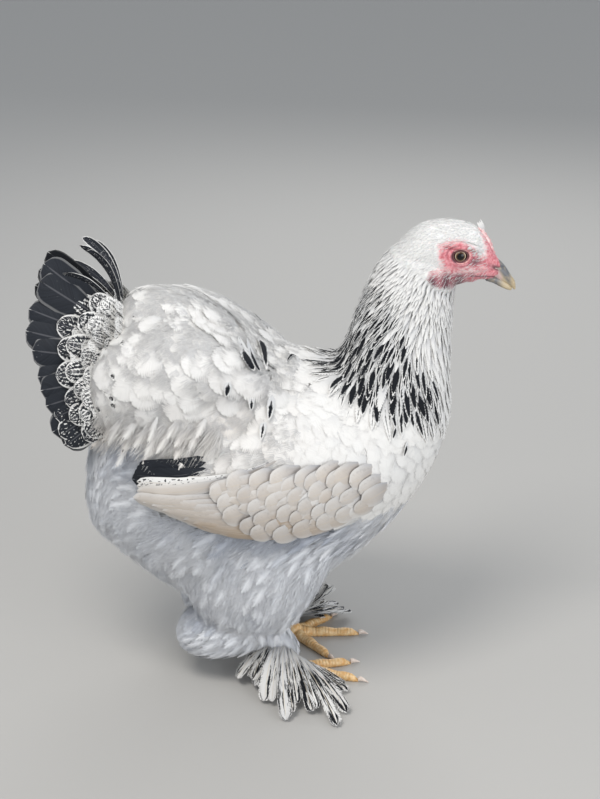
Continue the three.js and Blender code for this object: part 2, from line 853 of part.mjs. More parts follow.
const SHANK = [
  [-117, 39, 44, 3, 3, 3],
  [-109, 39, 43, 19, 19, 19],
  [-90, 39, 42, 27, 25, 27],
  [-68, 39, 42, 29, 24, 25],
  [-45, 38.5, 43, 26, 21, 21],
  [-27, 37, 39, 18, 15, 14],
  [-14, 35.5, 28, 11, 11, 11],
  [-7, 34.5, 15, 7.6, 7.6, 7.6],
  [-6, 34, FLOOR + 14, 7, 7, 7],
];

function shankCore(side, grow) {
  const stations = onSide(SHANK, side);
  return solid(loft({ stations, steps: 9, sides: 10, up: [0.62, 0, 0.78], grow }));
}

// Boot feathers in a fan on the outer side of the foot.
// Each row is the root, then the tip as x, y and height above the floor, then the width.
const BOOT = {
  right: [
    [[-26, 40, 34], [-62, 60, 5], 24],
    [[-24, 42, 34], [-45, 72, 3], 20],
    [[-20, 43, 32], [-33, 98, 1], 20],
    [[-15, 43, 30], [-12, 130, 0], 21],
    [[-10, 42, 26], [12, 118, 2], 22],
    [[-6, 40, 20], [37, 140, 0], 20],
    [[-4, 38, 16], [46, 118, 2], 18],
    [[-2, 36, 10], [48, 78, 3], 16],
  ],
  left: [
    [[-26, 40, 34], [-58, 62, 5], 24],
    [[-24, 42, 34], [-46, 80, 3], 20],
    [[-20, 43, 32], [-34, 102, 1], 20],
    [[-15, 43, 30], [-14, 120, 2], 20],
    [[-11, 42, 27], [4, 130, 3], 19],
    [[-8, 41, 24], [21, 140.2, 0], 19],
    [[-4, 38, 16], [40, 92, 5], 18],
    [[-2, 36, 12], [54, 76, 4], 18],
  ],
};

function bootVane(side, [root, tip, width]) {
  const from = point(root[0], root[1] * side, root[2]);
  const to = point(tip[0], tip[1] * side, FLOOR + tip[2] + FEATHER_FLOOR + FLIGHT_THICK);
  const bend = from.clone().lerp(to, 0.5);
  bend.z = mix(to.z, from.z, 0.78);
  const run = to.clone().sub(from).setZ(0).normalize();
  return freeVane({
    root: from,
    bend,
    tip: to,
    across: point(-run.y, run.x, 0),
    width,
    thickness: FLIGHT_THICK,
    ridge: 1,
  });
}

// Toes, each a direction in degrees from straight ahead (outwards positive), a length and joints.
const FEET = {
  right: { side: RIGHT, middle: 17, inner: -14, outer: 52, hind: 196 },
  left: { side: LEFT, middle: 2, inner: -52, outer: 44, hind: 172 },
};
const TOE_LENGTHS = { middle: 62, inner: 54, outer: 50, hind: 27 };
const TOE_END = 2.4; // how far a toe's blunt end reaches past its last joint
const CLAW_LENGTH = 10;
const HIND_SIZE = 0.86; // thickness of the hind toe against the others
const TOE_TAPER = [1.12, 0.72]; // thickness at the ankle and at the tip
const TOE_SWELL = 0.07; // how much a joint swells and the stretch between joints narrows
const SOLE_SINK = 0.86; // height of a toe's axis as a share of its radius
const FOOT_PAD = { z: 7.2, radius: 8.4 };

function toeDirection(foot, toe) {
  const angle = THREE.MathUtils.degToRad(foot[toe]);
  return point(Math.cos(angle), foot.side * Math.sin(angle), 0);
}

function toePath(foot, toe) {
  const away = toeDirection(foot, toe);
  const length = TOE_LENGTHS[toe];
  const hub = point(ANKLE_X, foot.side * FOOT_Y, FLOOR);
  return (t) => hub.clone().addScaledVector(away, length * t);
}

function toeSolid(foot, toe, grow) {
  const along = toePath(foot, toe);
  const joints = toe === "hind" ? 2 : 3;
  const size = toe === "hind" ? HIND_SIZE : 1;
  const stations = [];
  for (let i = 0; i <= joints * 2; i++) {
    const t = i / (joints * 2);
    const swell = i % 2 === 0 ? 1 - TOE_SWELL : 1 + TOE_SWELL;
    const radius = TOE_RADIUS * size * mix(TOE_TAPER[0], TOE_TAPER[1], t) * swell;
    const p = along(t);
    stations.push([p.x, p.y, FLOOR + radius * SOLE_SINK, radius, radius, radius]);
  }
  const tip = along(1 + TOE_END / TOE_LENGTHS[toe]);
  stations.push([tip.x, tip.y, FLOOR + TOE_RADIUS * 0.56, 2.4, 2.4, 2.4]);
  const plumb = toeDirection(foot, toe).toArray();
  return solid(loft({ stations, steps: stations.length - 1, sides: 6, plumb, grow }));
}

function clawSolid(foot, toe) {
  const along = toePath(foot, toe);
  const at = (d) => along(1 + d / TOE_LENGTHS[toe]);
  const marks = [
    [TOE_END + GAP, 2.9, 2.3],
    [TOE_END + 2.5, 3.4, 2.1],
    [TOE_END + 6, 2.7, 1.5],
    [TOE_END + CLAW_LENGTH, 0.9, 0.4],
  ];
  const stations = marks.map(([d, z, radius]) => {
    const p = at(d);
    return [p.x, p.y, FLOOR + z, radius, radius, radius];
  });
  return solid(loft({ stations, steps: 3, sides: 5, plumb: toeDirection(foot, toe).toArray() }));
}

function footCore(foot, grow) {
  const toes = Object.keys(TOE_LENGTHS).map((toe) => toeSolid(foot, toe, grow));
  const radius = FOOT_PAD.radius + grow;
  const pad = ball(ANKLE_X, foot.side * FOOT_Y, FLOOR + FOOT_PAD.z, radius, [1, 1, 1], 8, 6);
  return join([pad, ...toes]);
}

// Assembly of the solids

const HEAD_CUT = { at: [110, 0, 381], normal: [0.51, 0, 0.86] };
const NECK_CUT = { at: [80, 0, 285], normal: [0.45, 0, 0.89] };
const SADDLE_CUT = { at: [-80, 0, 230], normal: [1, 0, 0] };
const opposite = (normal) => normal.map((n) => -n);

const body = join([trunk(0), cushion(RIGHT, 0), cushion(LEFT, 0), neckCore(0), skull(0)]);
const torsoRoom = join([trunk(GAP), cushion(RIGHT, GAP), cushion(LEFT, GAP)]);

const belowNeck = beyond(body, NECK_CUT.at, opposite(NECK_CUT.normal));
const torso = largest(beyond(belowNeck, SADDLE_CUT.at, SADDLE_CUT.normal));
const saddle = largest(beyond(belowNeck, SADDLE_CUT.at, opposite(SADDLE_CUT.normal)));
const wings = new Map([RIGHT, LEFT].map((side) => [side, largest(wing(side).subtract(torsoRoom))]));

const hostMesh = new THREE.Mesh(
  geometryOf(body),
  new THREE.MeshBasicMaterial({ side: THREE.DoubleSide }),
);
hostMesh.updateMatrixWorld(true);

const neckPlain = beyond(
  beyond(body, NECK_CUT.at, NECK_CUT.normal),
  HEAD_CUT.at,
  opposite(HEAD_CUT.normal),
);
const underNeck = join([torsoRoom, neckCore(GAP)]).subtract(
  halfSpace(NECK_CUT.at, NECK_CUT.normal, GAP),
);
const wingRooms = [RIGHT, LEFT].map((side) => wingPad(side, WING_COAT + GAP, WING_RIM + GAP));
const neck = largest(join([neckPlain, ...cape(hostMesh)]).subtract(join([underNeck, ...wingRooms])));

const headPlain = beyond(body, HEAD_CUT.at, HEAD_CUT.normal);
const face = [RIGHT, LEFT].flatMap((side) => [lids(side), brow(side), wattle(side), lobe(side)]);
const sockets = [RIGHT, LEFT].map((side) =>
  ball(EYE.x, side * EYE.y, EYE.z, EYE.radius + GAP, [1, 1, 1], 12, 9),
);
const head = largest(
  [...sockets, bill(UPPER_BILL, GAP), bill(LOWER_BILL, GAP), gape()].reduce(
    (shape, cut) => shape.subtract(cut),
    join([headPlain, ...face]),
  ),
);
const combSolid = largest(comb().subtract(skull(GAP)));
const upperBill = largest(
  bill(UPPER_BILL, 0).subtract(nostril(RIGHT)).subtract(nostril(LEFT)),
);
const lowerBill = largest(bill(LOWER_BILL, 0).subtract(bill(UPPER_BILL, GAP)));

const tailSolid = largest(tail().subtract(torsoRoom));

const legs = new Map(
  [RIGHT, LEFT].map((side) => {
    const label = side === RIGHT ? "right" : "left";
    const foot = FEET[label];
    const onFloor = beyond(footCore(foot, 0), [0, 0, FLOOR - GAP / 2], [0, 0, 1]);
    const footSolid = onFloor.subtract(shankCore(side, GAP));
    const shank = join([shankCore(side, 0), ...BOOT[label].map((b) => bootVane(side, b))]);
    const claws = Object.keys(TOE_LENGTHS).map((toe) => [toe, clawSolid(foot, toe)]);
    return [
      side,
      {
        thigh: largest(thigh(side, 0).subtract(torsoRoom)),
        shank: largest(shank.subtract(thigh(side, GAP)).subtract(footCore(foot, GAP))),
        foot: largest(footSolid),
        claws,
      },
    ];
  }),
);

// The model: one named mesh for each part

const hen = new THREE.Group();

function add(name, shape, finish) {
  const mesh = new THREE.Mesh(
    geometryOf(shape),
    new THREE.MeshStandardMaterial({ metalness: 0, ...finish }),
  );
  mesh.name = name;
  hen.add(mesh);
}

add("torso", torso, WHITE);
add("saddle", saddle, WHITE);
add("neck", neck, WHITE);
add("head", head, FACE);
add("comb", combSolid, FACE);
add("beak_upper", upperBill, HORN);
add("beak_lower", lowerBill, HORN);
add("tail", tailSolid, BLACK);
for (const [side, label] of [
  [RIGHT, "right"],
  [LEFT, "left"],
]) {
  const leg = legs.get(side);
  add(`eye_${label}`, ball(EYE.x, side * EYE.y, EYE.z, EYE.radius, [1, 1, 1], 12, 7), EYEBALL);
  add(`wing_${label}`, wings.get(side), WHITE);
  add(`thigh_${label}`, leg.thigh, FLUFF);
  add(`shank_${label}`, leg.shank, WHITE);
  add(`foot_${label}`, leg.foot, TOES);
  leg.claws.forEach(([toe, shape]) => add(`claw_${toe}_${label}`, shape, CLAW));
}

// The origin goes to the middle of the bounding box, on the floor.
const box = new THREE.Box3().setFromObject(hen);
const middle = box.getCenter(new THREE.Vector3());
hen.position.set(-middle.x, -middle.y, -box.min.z);

export default hen;
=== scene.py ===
import math

import bpy
import numpy as np
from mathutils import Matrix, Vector
from mathutils.bvhtree import BVHTree


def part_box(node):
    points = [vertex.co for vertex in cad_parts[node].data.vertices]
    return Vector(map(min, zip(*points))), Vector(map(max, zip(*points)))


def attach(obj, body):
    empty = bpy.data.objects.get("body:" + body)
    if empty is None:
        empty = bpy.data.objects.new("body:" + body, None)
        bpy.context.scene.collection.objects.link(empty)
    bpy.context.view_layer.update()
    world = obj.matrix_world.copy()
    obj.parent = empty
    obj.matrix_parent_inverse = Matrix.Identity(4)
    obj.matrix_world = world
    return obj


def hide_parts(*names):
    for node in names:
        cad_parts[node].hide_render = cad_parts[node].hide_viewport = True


# A standing light brahma hen dressed over its solids: one skin under a coat of feathers, all of it mesh.
# Work is done in millimetres in the part's own sections (floor at -7), and moved to the frame at the end.

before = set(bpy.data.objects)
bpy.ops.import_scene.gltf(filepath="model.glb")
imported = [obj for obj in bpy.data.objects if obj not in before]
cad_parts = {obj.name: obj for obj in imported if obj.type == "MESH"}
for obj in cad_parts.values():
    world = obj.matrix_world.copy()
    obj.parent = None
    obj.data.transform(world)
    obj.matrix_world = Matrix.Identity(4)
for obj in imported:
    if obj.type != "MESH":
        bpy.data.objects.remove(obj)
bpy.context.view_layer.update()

RIGHT, LEFT = -1, 1
SIDES = ((RIGHT, "right"), (LEFT, "left"))
FLOOR = -7.0
EYE = np.array([141.0, 13.6, 404.0])
EYE_RADIUS = 7.5
eye_low, eye_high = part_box("eye_right")
# From the sections' millimetres to the frame's
SHIFT = np.array((eye_low + eye_high) / 2) * 1000 - EYE * (1, RIGHT, 1)
rng = np.random.default_rng(20)
# Share of the feathers laid on surfaces
DENSE = 1.0

# Sections of the bird, from one end of each form to the other. A station is its centre, half its width, and
# its reach upward and downward. The trunk's is x, top, underside, the height where it is widest, and half its
# width there.

TRUNK = [
    [-200, 177, 160, 168, 6], [-193, 232, 138, 172, 34], [-180, 300, 127, 180, 55], [-158, 358, 109, 190, 73],
    [-132, 369, 87, 202, 87], [-100, 364, 68, 206, 96], [-65, 346, 62, 206, 101], [-30, 319, 66, 206, 101],
    [5, 305, 80, 208, 97], [40, 301, 106, 214, 90], [75, 297, 138, 222, 78], [105, 290, 170, 235, 60],
    [126, 282, 206, 248, 38], [138, 274, 244, 260, 12],
]
CUSHION = [
    [-192, 44, 292, 4, 5, 5], [-180, 46, 292, 26, 30, 34], [-152, 47, 294, 40, 50, 54],
    [-115, 47, 298, 45, 57, 64], [-80, 48, 300, 43, 47, 56], [-52, 49, 298, 36, 34, 42],
    [-24, 48, 286, 29, 26, 32], [2, 46, 270, 18, 16, 20],
]
NECK = [
    [62, 0, 200, 50, 54, 60], [70, 0, 228, 62, 62, 66], [76, 0, 254, 64, 61, 66], [85, 0, 284, 57, 53, 57],
    [91, 0, 310, 47, 47, 50], [96, 0, 335, 39, 42, 48], [101, 0, 358, 33, 38, 44], [108, 0, 378, 28, 33, 41],
    [114, 0, 396, 22, 25, 34], [118, 0, 410, 12, 13, 18],
]
HEAD = [
    [82, 0, 396, 8, 6, 12], [92, 0, 397, 17, 18, 25], [108, 0, 400, 21, 28, 32], [126, 0, 400, 21, 32, 31],
    [142, 0, 399, 19.6, 32, 27], [155, 0, 398, 17.6, 28.5, 22.5], [165, 0, 396, 14.2, 20.5, 20.5],
    [171.5, 0, 391.5, 10.8, 12.5, 15.5], [177, 0, 387.5, 7.8, 7.5, 10.5], [181.5, 0, 385, 3.8, 3.4, 5.5],
]
THIGH = [
    [-12, 44, 186, 32, 46, 56], [-18, 50, 160, 40, 58, 70], [-30, 52, 128, 42, 58, 74],
    [-42, 51, 102, 40, 57, 66], [-51, 48, 80, 35, 53, 56], [-57, 44, 64, 28, 47, 46],
    [-60, 41, 54, 15, 30, 28],
]
SHANK = [
    [-117, 39, 44, 3, 3, 3], [-109, 39, 43, 19, 19, 19], [-90, 39, 42, 27, 25, 27], [-68, 39, 42, 29, 24, 25],
    [-45, 38.5, 43, 26, 21, 21], [-27, 37, 39, 18, 15, 14], [-14, 35.5, 28, 11, 11, 11],
    [-7, 34.5, 15, 7.6, 7.6, 7.6], [-6, 34, 7, 7, 7, 7],
]
BROW = [
    [122, 15.5, 414, 2, 2, 2], [132, 18, 414, 3.6, 3.6, 3.2], [144, 18.2, 413.4, 3.8, 3.4, 2.8],
    [155, 15.6, 410, 3.2, 3, 2.6], [163, 11.6, 405, 1.6, 1.6, 1.6],
]
WATTLE = [
    [161, 5.5, 377.5, 2, 2, 2], [154, 7.5, 375.5, 3.4, 4.6, 5.4], [145, 11.5, 378.5, 3.4, 4.4, 4.6],
    [135, 16, 383, 3, 4.2, 4.4], [127, 18.6, 387, 1.4, 2, 2],
]
UPPER_BILL = [
    [170, 0, 391.2, 7.4, 7.2, 8.6], [174.9, 0, 388, 7, 7, 9], [179.9, 0, 383.9, 5.8, 5.8, 8.6],
    [184.9, 0, 378.8, 4.3, 4.2, 6.6], [189.8, 0, 373.7, 2.5, 2.9, 3.8], [192.8, 0, 367.2, 0.6, 0.7, 0.8],
]
LOWER_BILL = [
    [167, 0, 378.6, 6, 3.4, 3.4], [174.2, 0, 376, 5.4, 4, 3.2], [180.5, 0, 372.3, 4.2, 3.8, 3],
    [185.8, 0, 368.8, 2.6, 2.6, 2], [189.6, 0, 366.6, 0.8, 0.8, 0.8],
]
# The folded wing's lower and upper edges in the side view: x, low, high
WING = np.array([
    [-147, 203, 213], [-124, 188, 227], [-84, 176, 244], [-44, 168, 264], [-9, 165, 272],
    [30, 169, 264], [62, 178, 247], [84, 190, 230], [96, 203, 217],
], float)


def unit(v):
    """Vectors made one long."""
    return v / np.maximum(np.linalg.norm(v, axis=-1, keepdims=True), 1e-9)


def mix(a, b, t):
    """Between a, at t of 0, and b, at 1."""
    return a + (b - a) * t


def smooth(x, a, b):
    """A soft step from 0 where x is a to 1 where x is b."""
    t = np.clip((x - a) / (b - a), 0, 1)
    return t * t * (3 - 2 * t)


def bell(*parts):
    """1 where every part is 0, fading out past 1."""
    return np.exp(-sum(q**2 for q in parts))


def arc(start, bend, end, t):
    """A curve from start to end that is drawn toward bend."""
    return start * (1 - t) ** 2 + bend * 2 * t * (1 - t) + end * t**2


def spline(points, t):
    """Places along a smooth curve through the points."""
    p = np.asarray(points, float)
    count = len(p) - 1
    e = np.vstack([2 * p[0] - p[1], p, 2 * p[-1] - p[-2]])
    s = np.clip(np.asarray(t, float), 0, 1) * count
    i = np.minimum(s.astype(int), count - 1)
    f = (s - i)[:, None]
    x0, x1, x2, x3 = e[i], e[i + 1], e[i + 2], e[i + 3]
    t0, t1 = (x2 - x0) / 2, (x3 - x1) / 2
    return x1 + t0 * f + (-3 * x1 + 3 * x2 - 2 * t0 - t1) * f**2 + (2 * x1 - 2 * x2 + t0 + t1) * f**3


def tube_faces(rings, sides, inward=False):
    """Faces of a closed tube whose points come ring by ring, with a cap on each end."""
    faces = []
    for i in range(rings - 1):
        for k in range(sides):
            a, b = i * sides + k, i * sides + (k + 1) % sides
            faces.append((a, a + sides, b + sides, b) if inward else (a, b, b + sides, a + sides))
    first, last = tuple(range(sides)), tuple(range((rings - 1) * sides, rings * sides))
    return faces + ([first, last[::-1]] if inward else [first[::-1], last])


def loft(stations, steps=40, sides=40, power=2.1, up=(0, 0, 1), plumb=None, side=1):
    """Points and faces of a closed tube through the stations, as the solids are made."""
    st = np.array(stations, float)
    st[:, 1] *= side
    t = np.linspace(0, 1, steps + 1)
    centre = spline(st[:, :3], t)
    size = np.maximum(spline(st[:, 3:6], t), 0.15)
    if plumb is None:
        along = unit(np.gradient(centre, axis=0))
    else:
        along = np.tile(unit(np.array(plumb, float)), (steps + 1, 1))
    ref = np.array(up, float)
    rise = unit(ref - along * (along @ ref)[:, None])
    cross = np.cross(rise, along)
    angle = np.arange(sides) * 2 * math.pi / sides
    c, s = [np.sign(v) * np.abs(v) ** (2 / power) for v in (np.cos(angle), np.sin(angle))]
    high = np.where(s[None, :] >= 0, size[:, 1:2], size[:, 2:3])
    out, lift = (size[:, 0:1] * c)[..., None], (high * s)[..., None]
    p = centre[:, None] + cross[:, None] * out + rise[:, None] * lift
    return p.reshape(-1, 3), tube_faces(steps + 1, sides)


def merged(shapes):
    """Several shapes as one list of points and faces."""
    verts, faces, base = [], [], 0
    for v, f in shapes:
        verts.append(v)
        faces += [tuple(i + base for i in face) for face in f]
        base += len(v)
    return np.vstack(verts), faces


def ball(centre, radius, stretch=(1, 1, 1), around=32, high=20):
    """Points and faces of a ball, stretched along the axes."""
    a = np.linspace(0, 2 * math.pi, around, endpoint=False)
    b = np.linspace(0, math.pi, high + 1)[1:-1]
    ring = np.stack([np.outer(np.sin(b), np.cos(a)), np.outer(np.sin(b), np.sin(a)),
                     np.outer(np.cos(b), np.ones(around))], -1).reshape(-1, 3)
    v = np.vstack([ring, [[0, 0, 1]], [[0, 0, -1]]]) * radius * np.array(stretch) + np.array(centre)
    top, bottom, last = len(ring), len(ring) + 1, (high - 2) * around
    faces = tube_faces(high - 1, around, inward=True)[:-2]
    for k in range(around):
        n = (k + 1) % around
        faces += [(top, k, n), (bottom, last + n, last + k)]
    return v, faces


# Meshes

def raw_mesh(name, verts, faces):
    """A new mesh of these points and faces."""
    mesh = bpy.data.meshes.new(name)
    mesh.from_pydata([tuple(v) for v in verts], [], faces)
    mesh.update()
    return mesh


def linked(name, data):
    """A new object in the scene."""
    obj = bpy.data.objects.new(name, data)
    bpy.context.scene.collection.objects.link(obj)
    return obj


def fused(shapes, voxel, relax):
    """One closed surface round all the shapes, evened out."""
    mesh = raw_mesh("working", *merged(shapes))
    obj = linked("working", mesh)
    mod = obj.modifiers.new("fuse", "REMESH")
    mod.mode = "VOXEL"
    mod.voxel_size = voxel
    done = obj.evaluated_get(bpy.context.evaluated_depsgraph_get()).to_mesh()
    v = np.empty(len(done.vertices) * 3, np.float32)
    done.vertices.foreach_get("co", v)
    v = v.reshape(-1, 3).astype(float)
    loops = np.empty(len(done.loops), np.int32)
    done.loops.foreach_get("vertex_index", loops)
    quads = loops.reshape(-1, 4)
    bpy.data.objects.remove(obj)
    bpy.data.meshes.remove(mesh)
    return relaxed(v, quads, relax), quads


def relaxed(v, quads, times):
    """Moves each point toward the middle of its neighbours, several times over."""
    pairs = np.vstack([quads[:, [k, (k + 1) % 4]] for k in range(4)])
    count = np.bincount(pairs.ravel(), minlength=len(v))[:, None]
    for _ in range(times):
        total = np.zeros_like(v)
        np.add.at(total, pairs[:, 0], v[pairs[:, 1]])
        np.add.at(total, pairs[:, 1], v[pairs[:, 0]])
        v = mix(v, total / count, 0.6)
    return v


def normals_of(v, quads):
    """The surface's outward direction at each point."""
    n = np.cross(v[quads[:, 2]] - v[quads[:, 0]], v[quads[:, 3]] - v[quads[:, 1]])
    total = np.zeros_like(v)
    for k in range(4):
        np.add.at(total, quads[:, k], n)
    return unit(total)


# Steps from a cell to itself and the cells round it
NEIGHBOURS = [(x, y, z) for x in (0, -1, 1) for y in (0, -1, 1) for z in (0, -1, 1)]
# Places tried for each feather that could fit
TRIES = 3.2


class Surface:
    """A surface that feathers are laid on."""

    def __init__(self, v, quads):
        self.v, self.quads = v, quads
        self.normals = normals_of(v, quads)
        self.tree = BVHTree.FromPolygons([tuple(p) for p in v], quads.tolist())
        self.face_normals = unit(self.normals[quads].mean(1))

    def nearest(self, points):
        """The surface's nearest places to the points, and its direction there."""
        shape = points.shape
        flat = points.reshape(-1, 3)
        place = np.empty_like(flat)
        face = np.empty(len(flat), int)
        for i, p in enumerate(flat.tolist()):
            place[i], _, face[i], _ = self.tree.find_nearest(p)
        return place.reshape(shape), self.face_normals[face].reshape(shape)

    def scatter(self, spacing, keep):
        """Places at least a spacing apart. spacing and keep take points and give one value for each."""
        quads = self.quads
        a, b, c, d = [self.v[quads[:, k]] for k in range(4)]
        area = np.linalg.norm(np.cross(c - a, d - b), axis=1) / 2
        middle = (a + b + c + d) / 4
        room = spacing(middle)
        weight = np.where(keep(middle), area / room**2, 0)
        count = int(weight.sum() * TRIES)
        pick = rng.choice(len(quads), count, p=weight / weight.sum())
        s, t = rng.random((2, count, 1))
        p = mix(mix(a[pick], b[pick], s), mix(d[pick], c[pick], s), t)
        room = spacing(p)
        cell = float(room.max())
        keys = np.floor(p / cell).astype(int)
        taken, chosen = {}, []
        for i, (q, r, key) in enumerate(zip(p.tolist(), (room * room).tolist(), keys.tolist())):
            near = (o for step in NEIGHBOURS
                    for o in taken.get((key[0] + step[0], key[1] + step[1], key[2] + step[2]), ()))
            if all((o[0] - q[0]) ** 2 + (o[1] - q[1]) ** 2 + (o[2] - q[2]) ** 2 >= r for o in near):
                taken.setdefault(tuple(key), []).append(q)
                chosen.append(i)
        return p[chosen]


# Materials

WHITE = (0.79, 0.775, 0.745, 1)
TAUPE = (0.47, 0.375, 0.285, 1)
GREY = (0.27, 0.285, 0.32, 1)
BLACK = (0.010, 0.011, 0.014, 1)
SLATE = (0.035, 0.04, 0.05, 1)


class Value:
    """A shader value. Sums and products of values become Math nodes."""

    def __init__(self, graph, socket):
        self.graph, self.socket = graph, socket

    def __add__(self, other):
        return self.graph.math("ADD", self, other)

    def __radd__(self, other):
        return self.graph.math("ADD", other, self)

    def __sub__(self, other):
        return self.graph.math("SUBTRACT", self, other)

    def __rsub__(self, other):
        return self.graph.math("SUBTRACT", other, self)

    def __mul__(self, other):
        return self.graph.math("MULTIPLY", self, other)

    def __abs__(self):
        return self.graph.math("ABSOLUTE", self)


class Graph:
    """A new material and short hands for wiring its nodes."""

    def __init__(self, name):
        self.mat = bpy.data.materials.new(name)
        self.mat.use_nodes = True
        self.tree = self.mat.node_tree
        self.bsdf = self.tree.nodes["Principled BSDF"]

    def wire(self, source, target):
        if isinstance(source, Value):
            self.tree.links.new(source.socket, target)
        else:
            target.default_value = source

    def node(self, kind, inputs, *outputs, **settings):
        """A new node, wired up. Gives the named outputs."""
        n = self.tree.nodes.new(kind)
        for key, value in settings.items():
            setattr(n, key, value)
        for key, source in inputs.items():
            self.wire(source, n.inputs[key])
        found = [Value(self, n.outputs[key]) for key in outputs]
        return found[0] if len(found) == 1 else found

    def math(self, op, a, b=0.0):
        return self.node("ShaderNodeMath", {0: a, 1: b}, 0, operation=op)

    def ramp(self, x, a, b):
        ends = {"Value": x, "From Min": a, "From Max": b}
        return self.node("ShaderNodeMapRange", ends, "Result", interpolation_type="SMOOTHSTEP")

    def blend(self, t, a, b):
        return self.node("ShaderNodeMix", {0: t, 6: a, 7: b}, 2, data_type="RGBA")

    def noise(self, vector, scale, detail=3.0, rough=0.55):
        inputs = {"Vector": vector, "Scale": scale, "Detail": detail, "Roughness": rough}
        return self.node("ShaderNodeTexNoise", inputs, "Fac")

    def vector(self, x, y, z):
        return self.node("ShaderNodeCombineXYZ", {0: x, 1: y, 2: z}, 0)

    def uv(self, name):
        place = self.node("ShaderNodeUVMap", {}, "UV", uv_map=name)
        return self.node("ShaderNodeSeparateXYZ", {0: place}, 0, 1)

    def marks(self):
        colour, alpha = self.node("ShaderNodeAttribute", {}, "Color", "Alpha", attribute_name="Marks")
        return *self.node("ShaderNodeSeparateColor", {0: colour}, 0, 1, 2), alpha

    def place(self):
        return self.node("ShaderNodeTexCoord", {}, "Object")

    def bump(self, height, strength, distance):
        inputs = {"Strength": strength, "Distance": distance, "Height": height}
        self.wire(self.node("ShaderNodeBump", inputs, "Normal"), self.bsdf.inputs["Normal"])

    def surface(self, base, rough, **others):
        """Sets the shader's colour, roughness and other inputs, and gives the material."""
        self.wire(base, self.bsdf.inputs["Base Color"])
        self.wire(rough, self.bsdf.inputs["Roughness"])
        for key, value in others.items():
            self.wire(value, self.bsdf.inputs[key.replace("_", " ")])
        return self.mat


class FeatherGraph(Graph):
    """A feather's values. Marks hold how much black it carries, its warm shade, a random number and how grey
    it is. Vane runs from edge to edge, with the shaft at a half, and from root to tip."""

    def __init__(self, name):
        super().__init__(name)
        self.across, self.along = self.uv("Vane")
        self.black, self.warm, self.chance, self.grey = self.marks()
        self.side = abs(self.across - 0.5) * 2.0
        self.slant = self.along * 60.0 - self.side * 13.0
        self.barbs = self.noise(self.vector(self.slant, self.across, self.chance * 97.0), 1.0, 2.0)
        self.wobble = (self.noise(self.place(), 480.0, 3.0, 0.6) - 0.5) * 0.5


# Patterns of feathers: each takes a feather's graph and base colour and gives its colour.

def tipped(g, base):
    """A ragged black mark at the tip."""
    width = g.black * (0.25 + g.along * 0.75)
    ragged = g.side + (g.wobble + (g.barbs - 0.5) * 1.6)
    inside = 1.0 - g.ramp(ragged, width - 0.12, width + 0.04)
    begin = 0.97 - g.black * 0.50
    tip = g.ramp(g.along, begin, begin + 0.1) * g.ramp(g.black, 0.02, 0.1)
    return g.blend(inside * tip, base, BLACK)


def striped(g, base):
    """A black stripe down the middle, parted from the edge and the tip."""
    fall = 1.0 - g.ramp(g.along, 0.83, 0.99)
    width = g.black * (g.ramp(g.along, 0.16, 0.58) * fall)
    ragged = g.side + (g.wobble + (g.barbs - 0.5) * 0.9)
    inside = 1.0 - g.ramp(ragged, width - 0.16, width + 0.02)
    return g.blend(inside * g.ramp(g.black, 0.02, 0.12), base, BLACK)


def laced(g, base):
    """Black with white specks, by the grey mark, and a white rim, by the warm mark."""
    fleck = g.vector(g.slant * 0.8, g.side * 3.5, g.chance * 57.0)
    rows = g.math("SINE", g.side * 21.0)
    field = g.noise(fleck, 1.0, 1.5) + rows * 0.09 + g.wobble * 0.25
    bound = 0.17 + g.grey * 0.42
    rim = g.ramp(g.side, 0.83, 0.90) * g.warm
    mask = g.ramp(field, bound - 0.03, bound + 0.03) * (1.0 - rim) * g.black
    dark = g.blend(g.barbs * 0.8, BLACK, SLATE)
    dark = g.blend(0.6 - g.ramp(g.side, 0.02, 0.07) * 0.6, dark, (0.12, 0.12, 0.13, 1))
    pale = g.blend(g.ramp(g.barbs, 0.4, 0.7) * 0.25, WHITE, (0.55, 0.56, 0.58, 1))
    return g.blend(mask, pale, dark)


def flight(g, base):
    """Taupe inside a pale edge. On feathers with a black mark the upper edge is white with black dots."""
    inner = g.warm * (1.0 - g.ramp(g.side, 0.45, 0.95))
    ripple = g.vector(g.along * 9.0, g.across * 1.6, g.chance * 57.0)
    base = g.blend(inner * (0.55 + g.noise(ripple, 1.0) * 0.9), base, TAUPE)
    base = g.blend(g.ramp(g.across, 0.60, 0.72) * g.black, base, WHITE)
    base = g.blend(0.5 - g.ramp(g.side, 0.02, 0.08) * 0.5, base, (0.60, 0.52, 0.42, 1))
    upper = g.ramp(g.across, 0.68, 0.74) - g.ramp(g.across, 0.88, 0.92)
    dots = g.ramp(g.noise(g.place(), 300.0, 1.0), 0.56, 0.60)
    return g.blend(upper * dots * g.black, base, BLACK)


def downy_blue_shade(g, base):
    """Grey blotches over several feathers, under a painted pale blue shade of the bird's lower parts."""
    blotches = g.ramp(g.noise(g.place(), 150.0, 4.0, 0.7), 0.48, 0.72)
    # The pale blue laid over the down's colour is painted shade.
    return g.blend(0.42, g.blend(blotches * 0.30, base, GREY), (0.72, 0.76, 0.84, 1))


def streaked(g, base):
    """Long ragged black streaks and a pale shaft."""
    field = g.noise(g.vector(g.across * 5.0, g.along * 3.2, g.chance * 97.0), 1.0, 3.0, 0.65) + g.barbs * 0.06
    bound = 0.66 - g.black * 0.28
    inside = g.ramp(field, bound, bound + 0.05) * (1.0 - g.ramp(g.side, 0.86, 0.98))
    base = g.blend(inside * g.ramp(g.along, 0.2, 0.4), base, BLACK)
    return g.blend(0.6 - g.ramp(g.side, 0.03, 0.10) * 0.6, base, (0.66, 0.58, 0.46, 1))


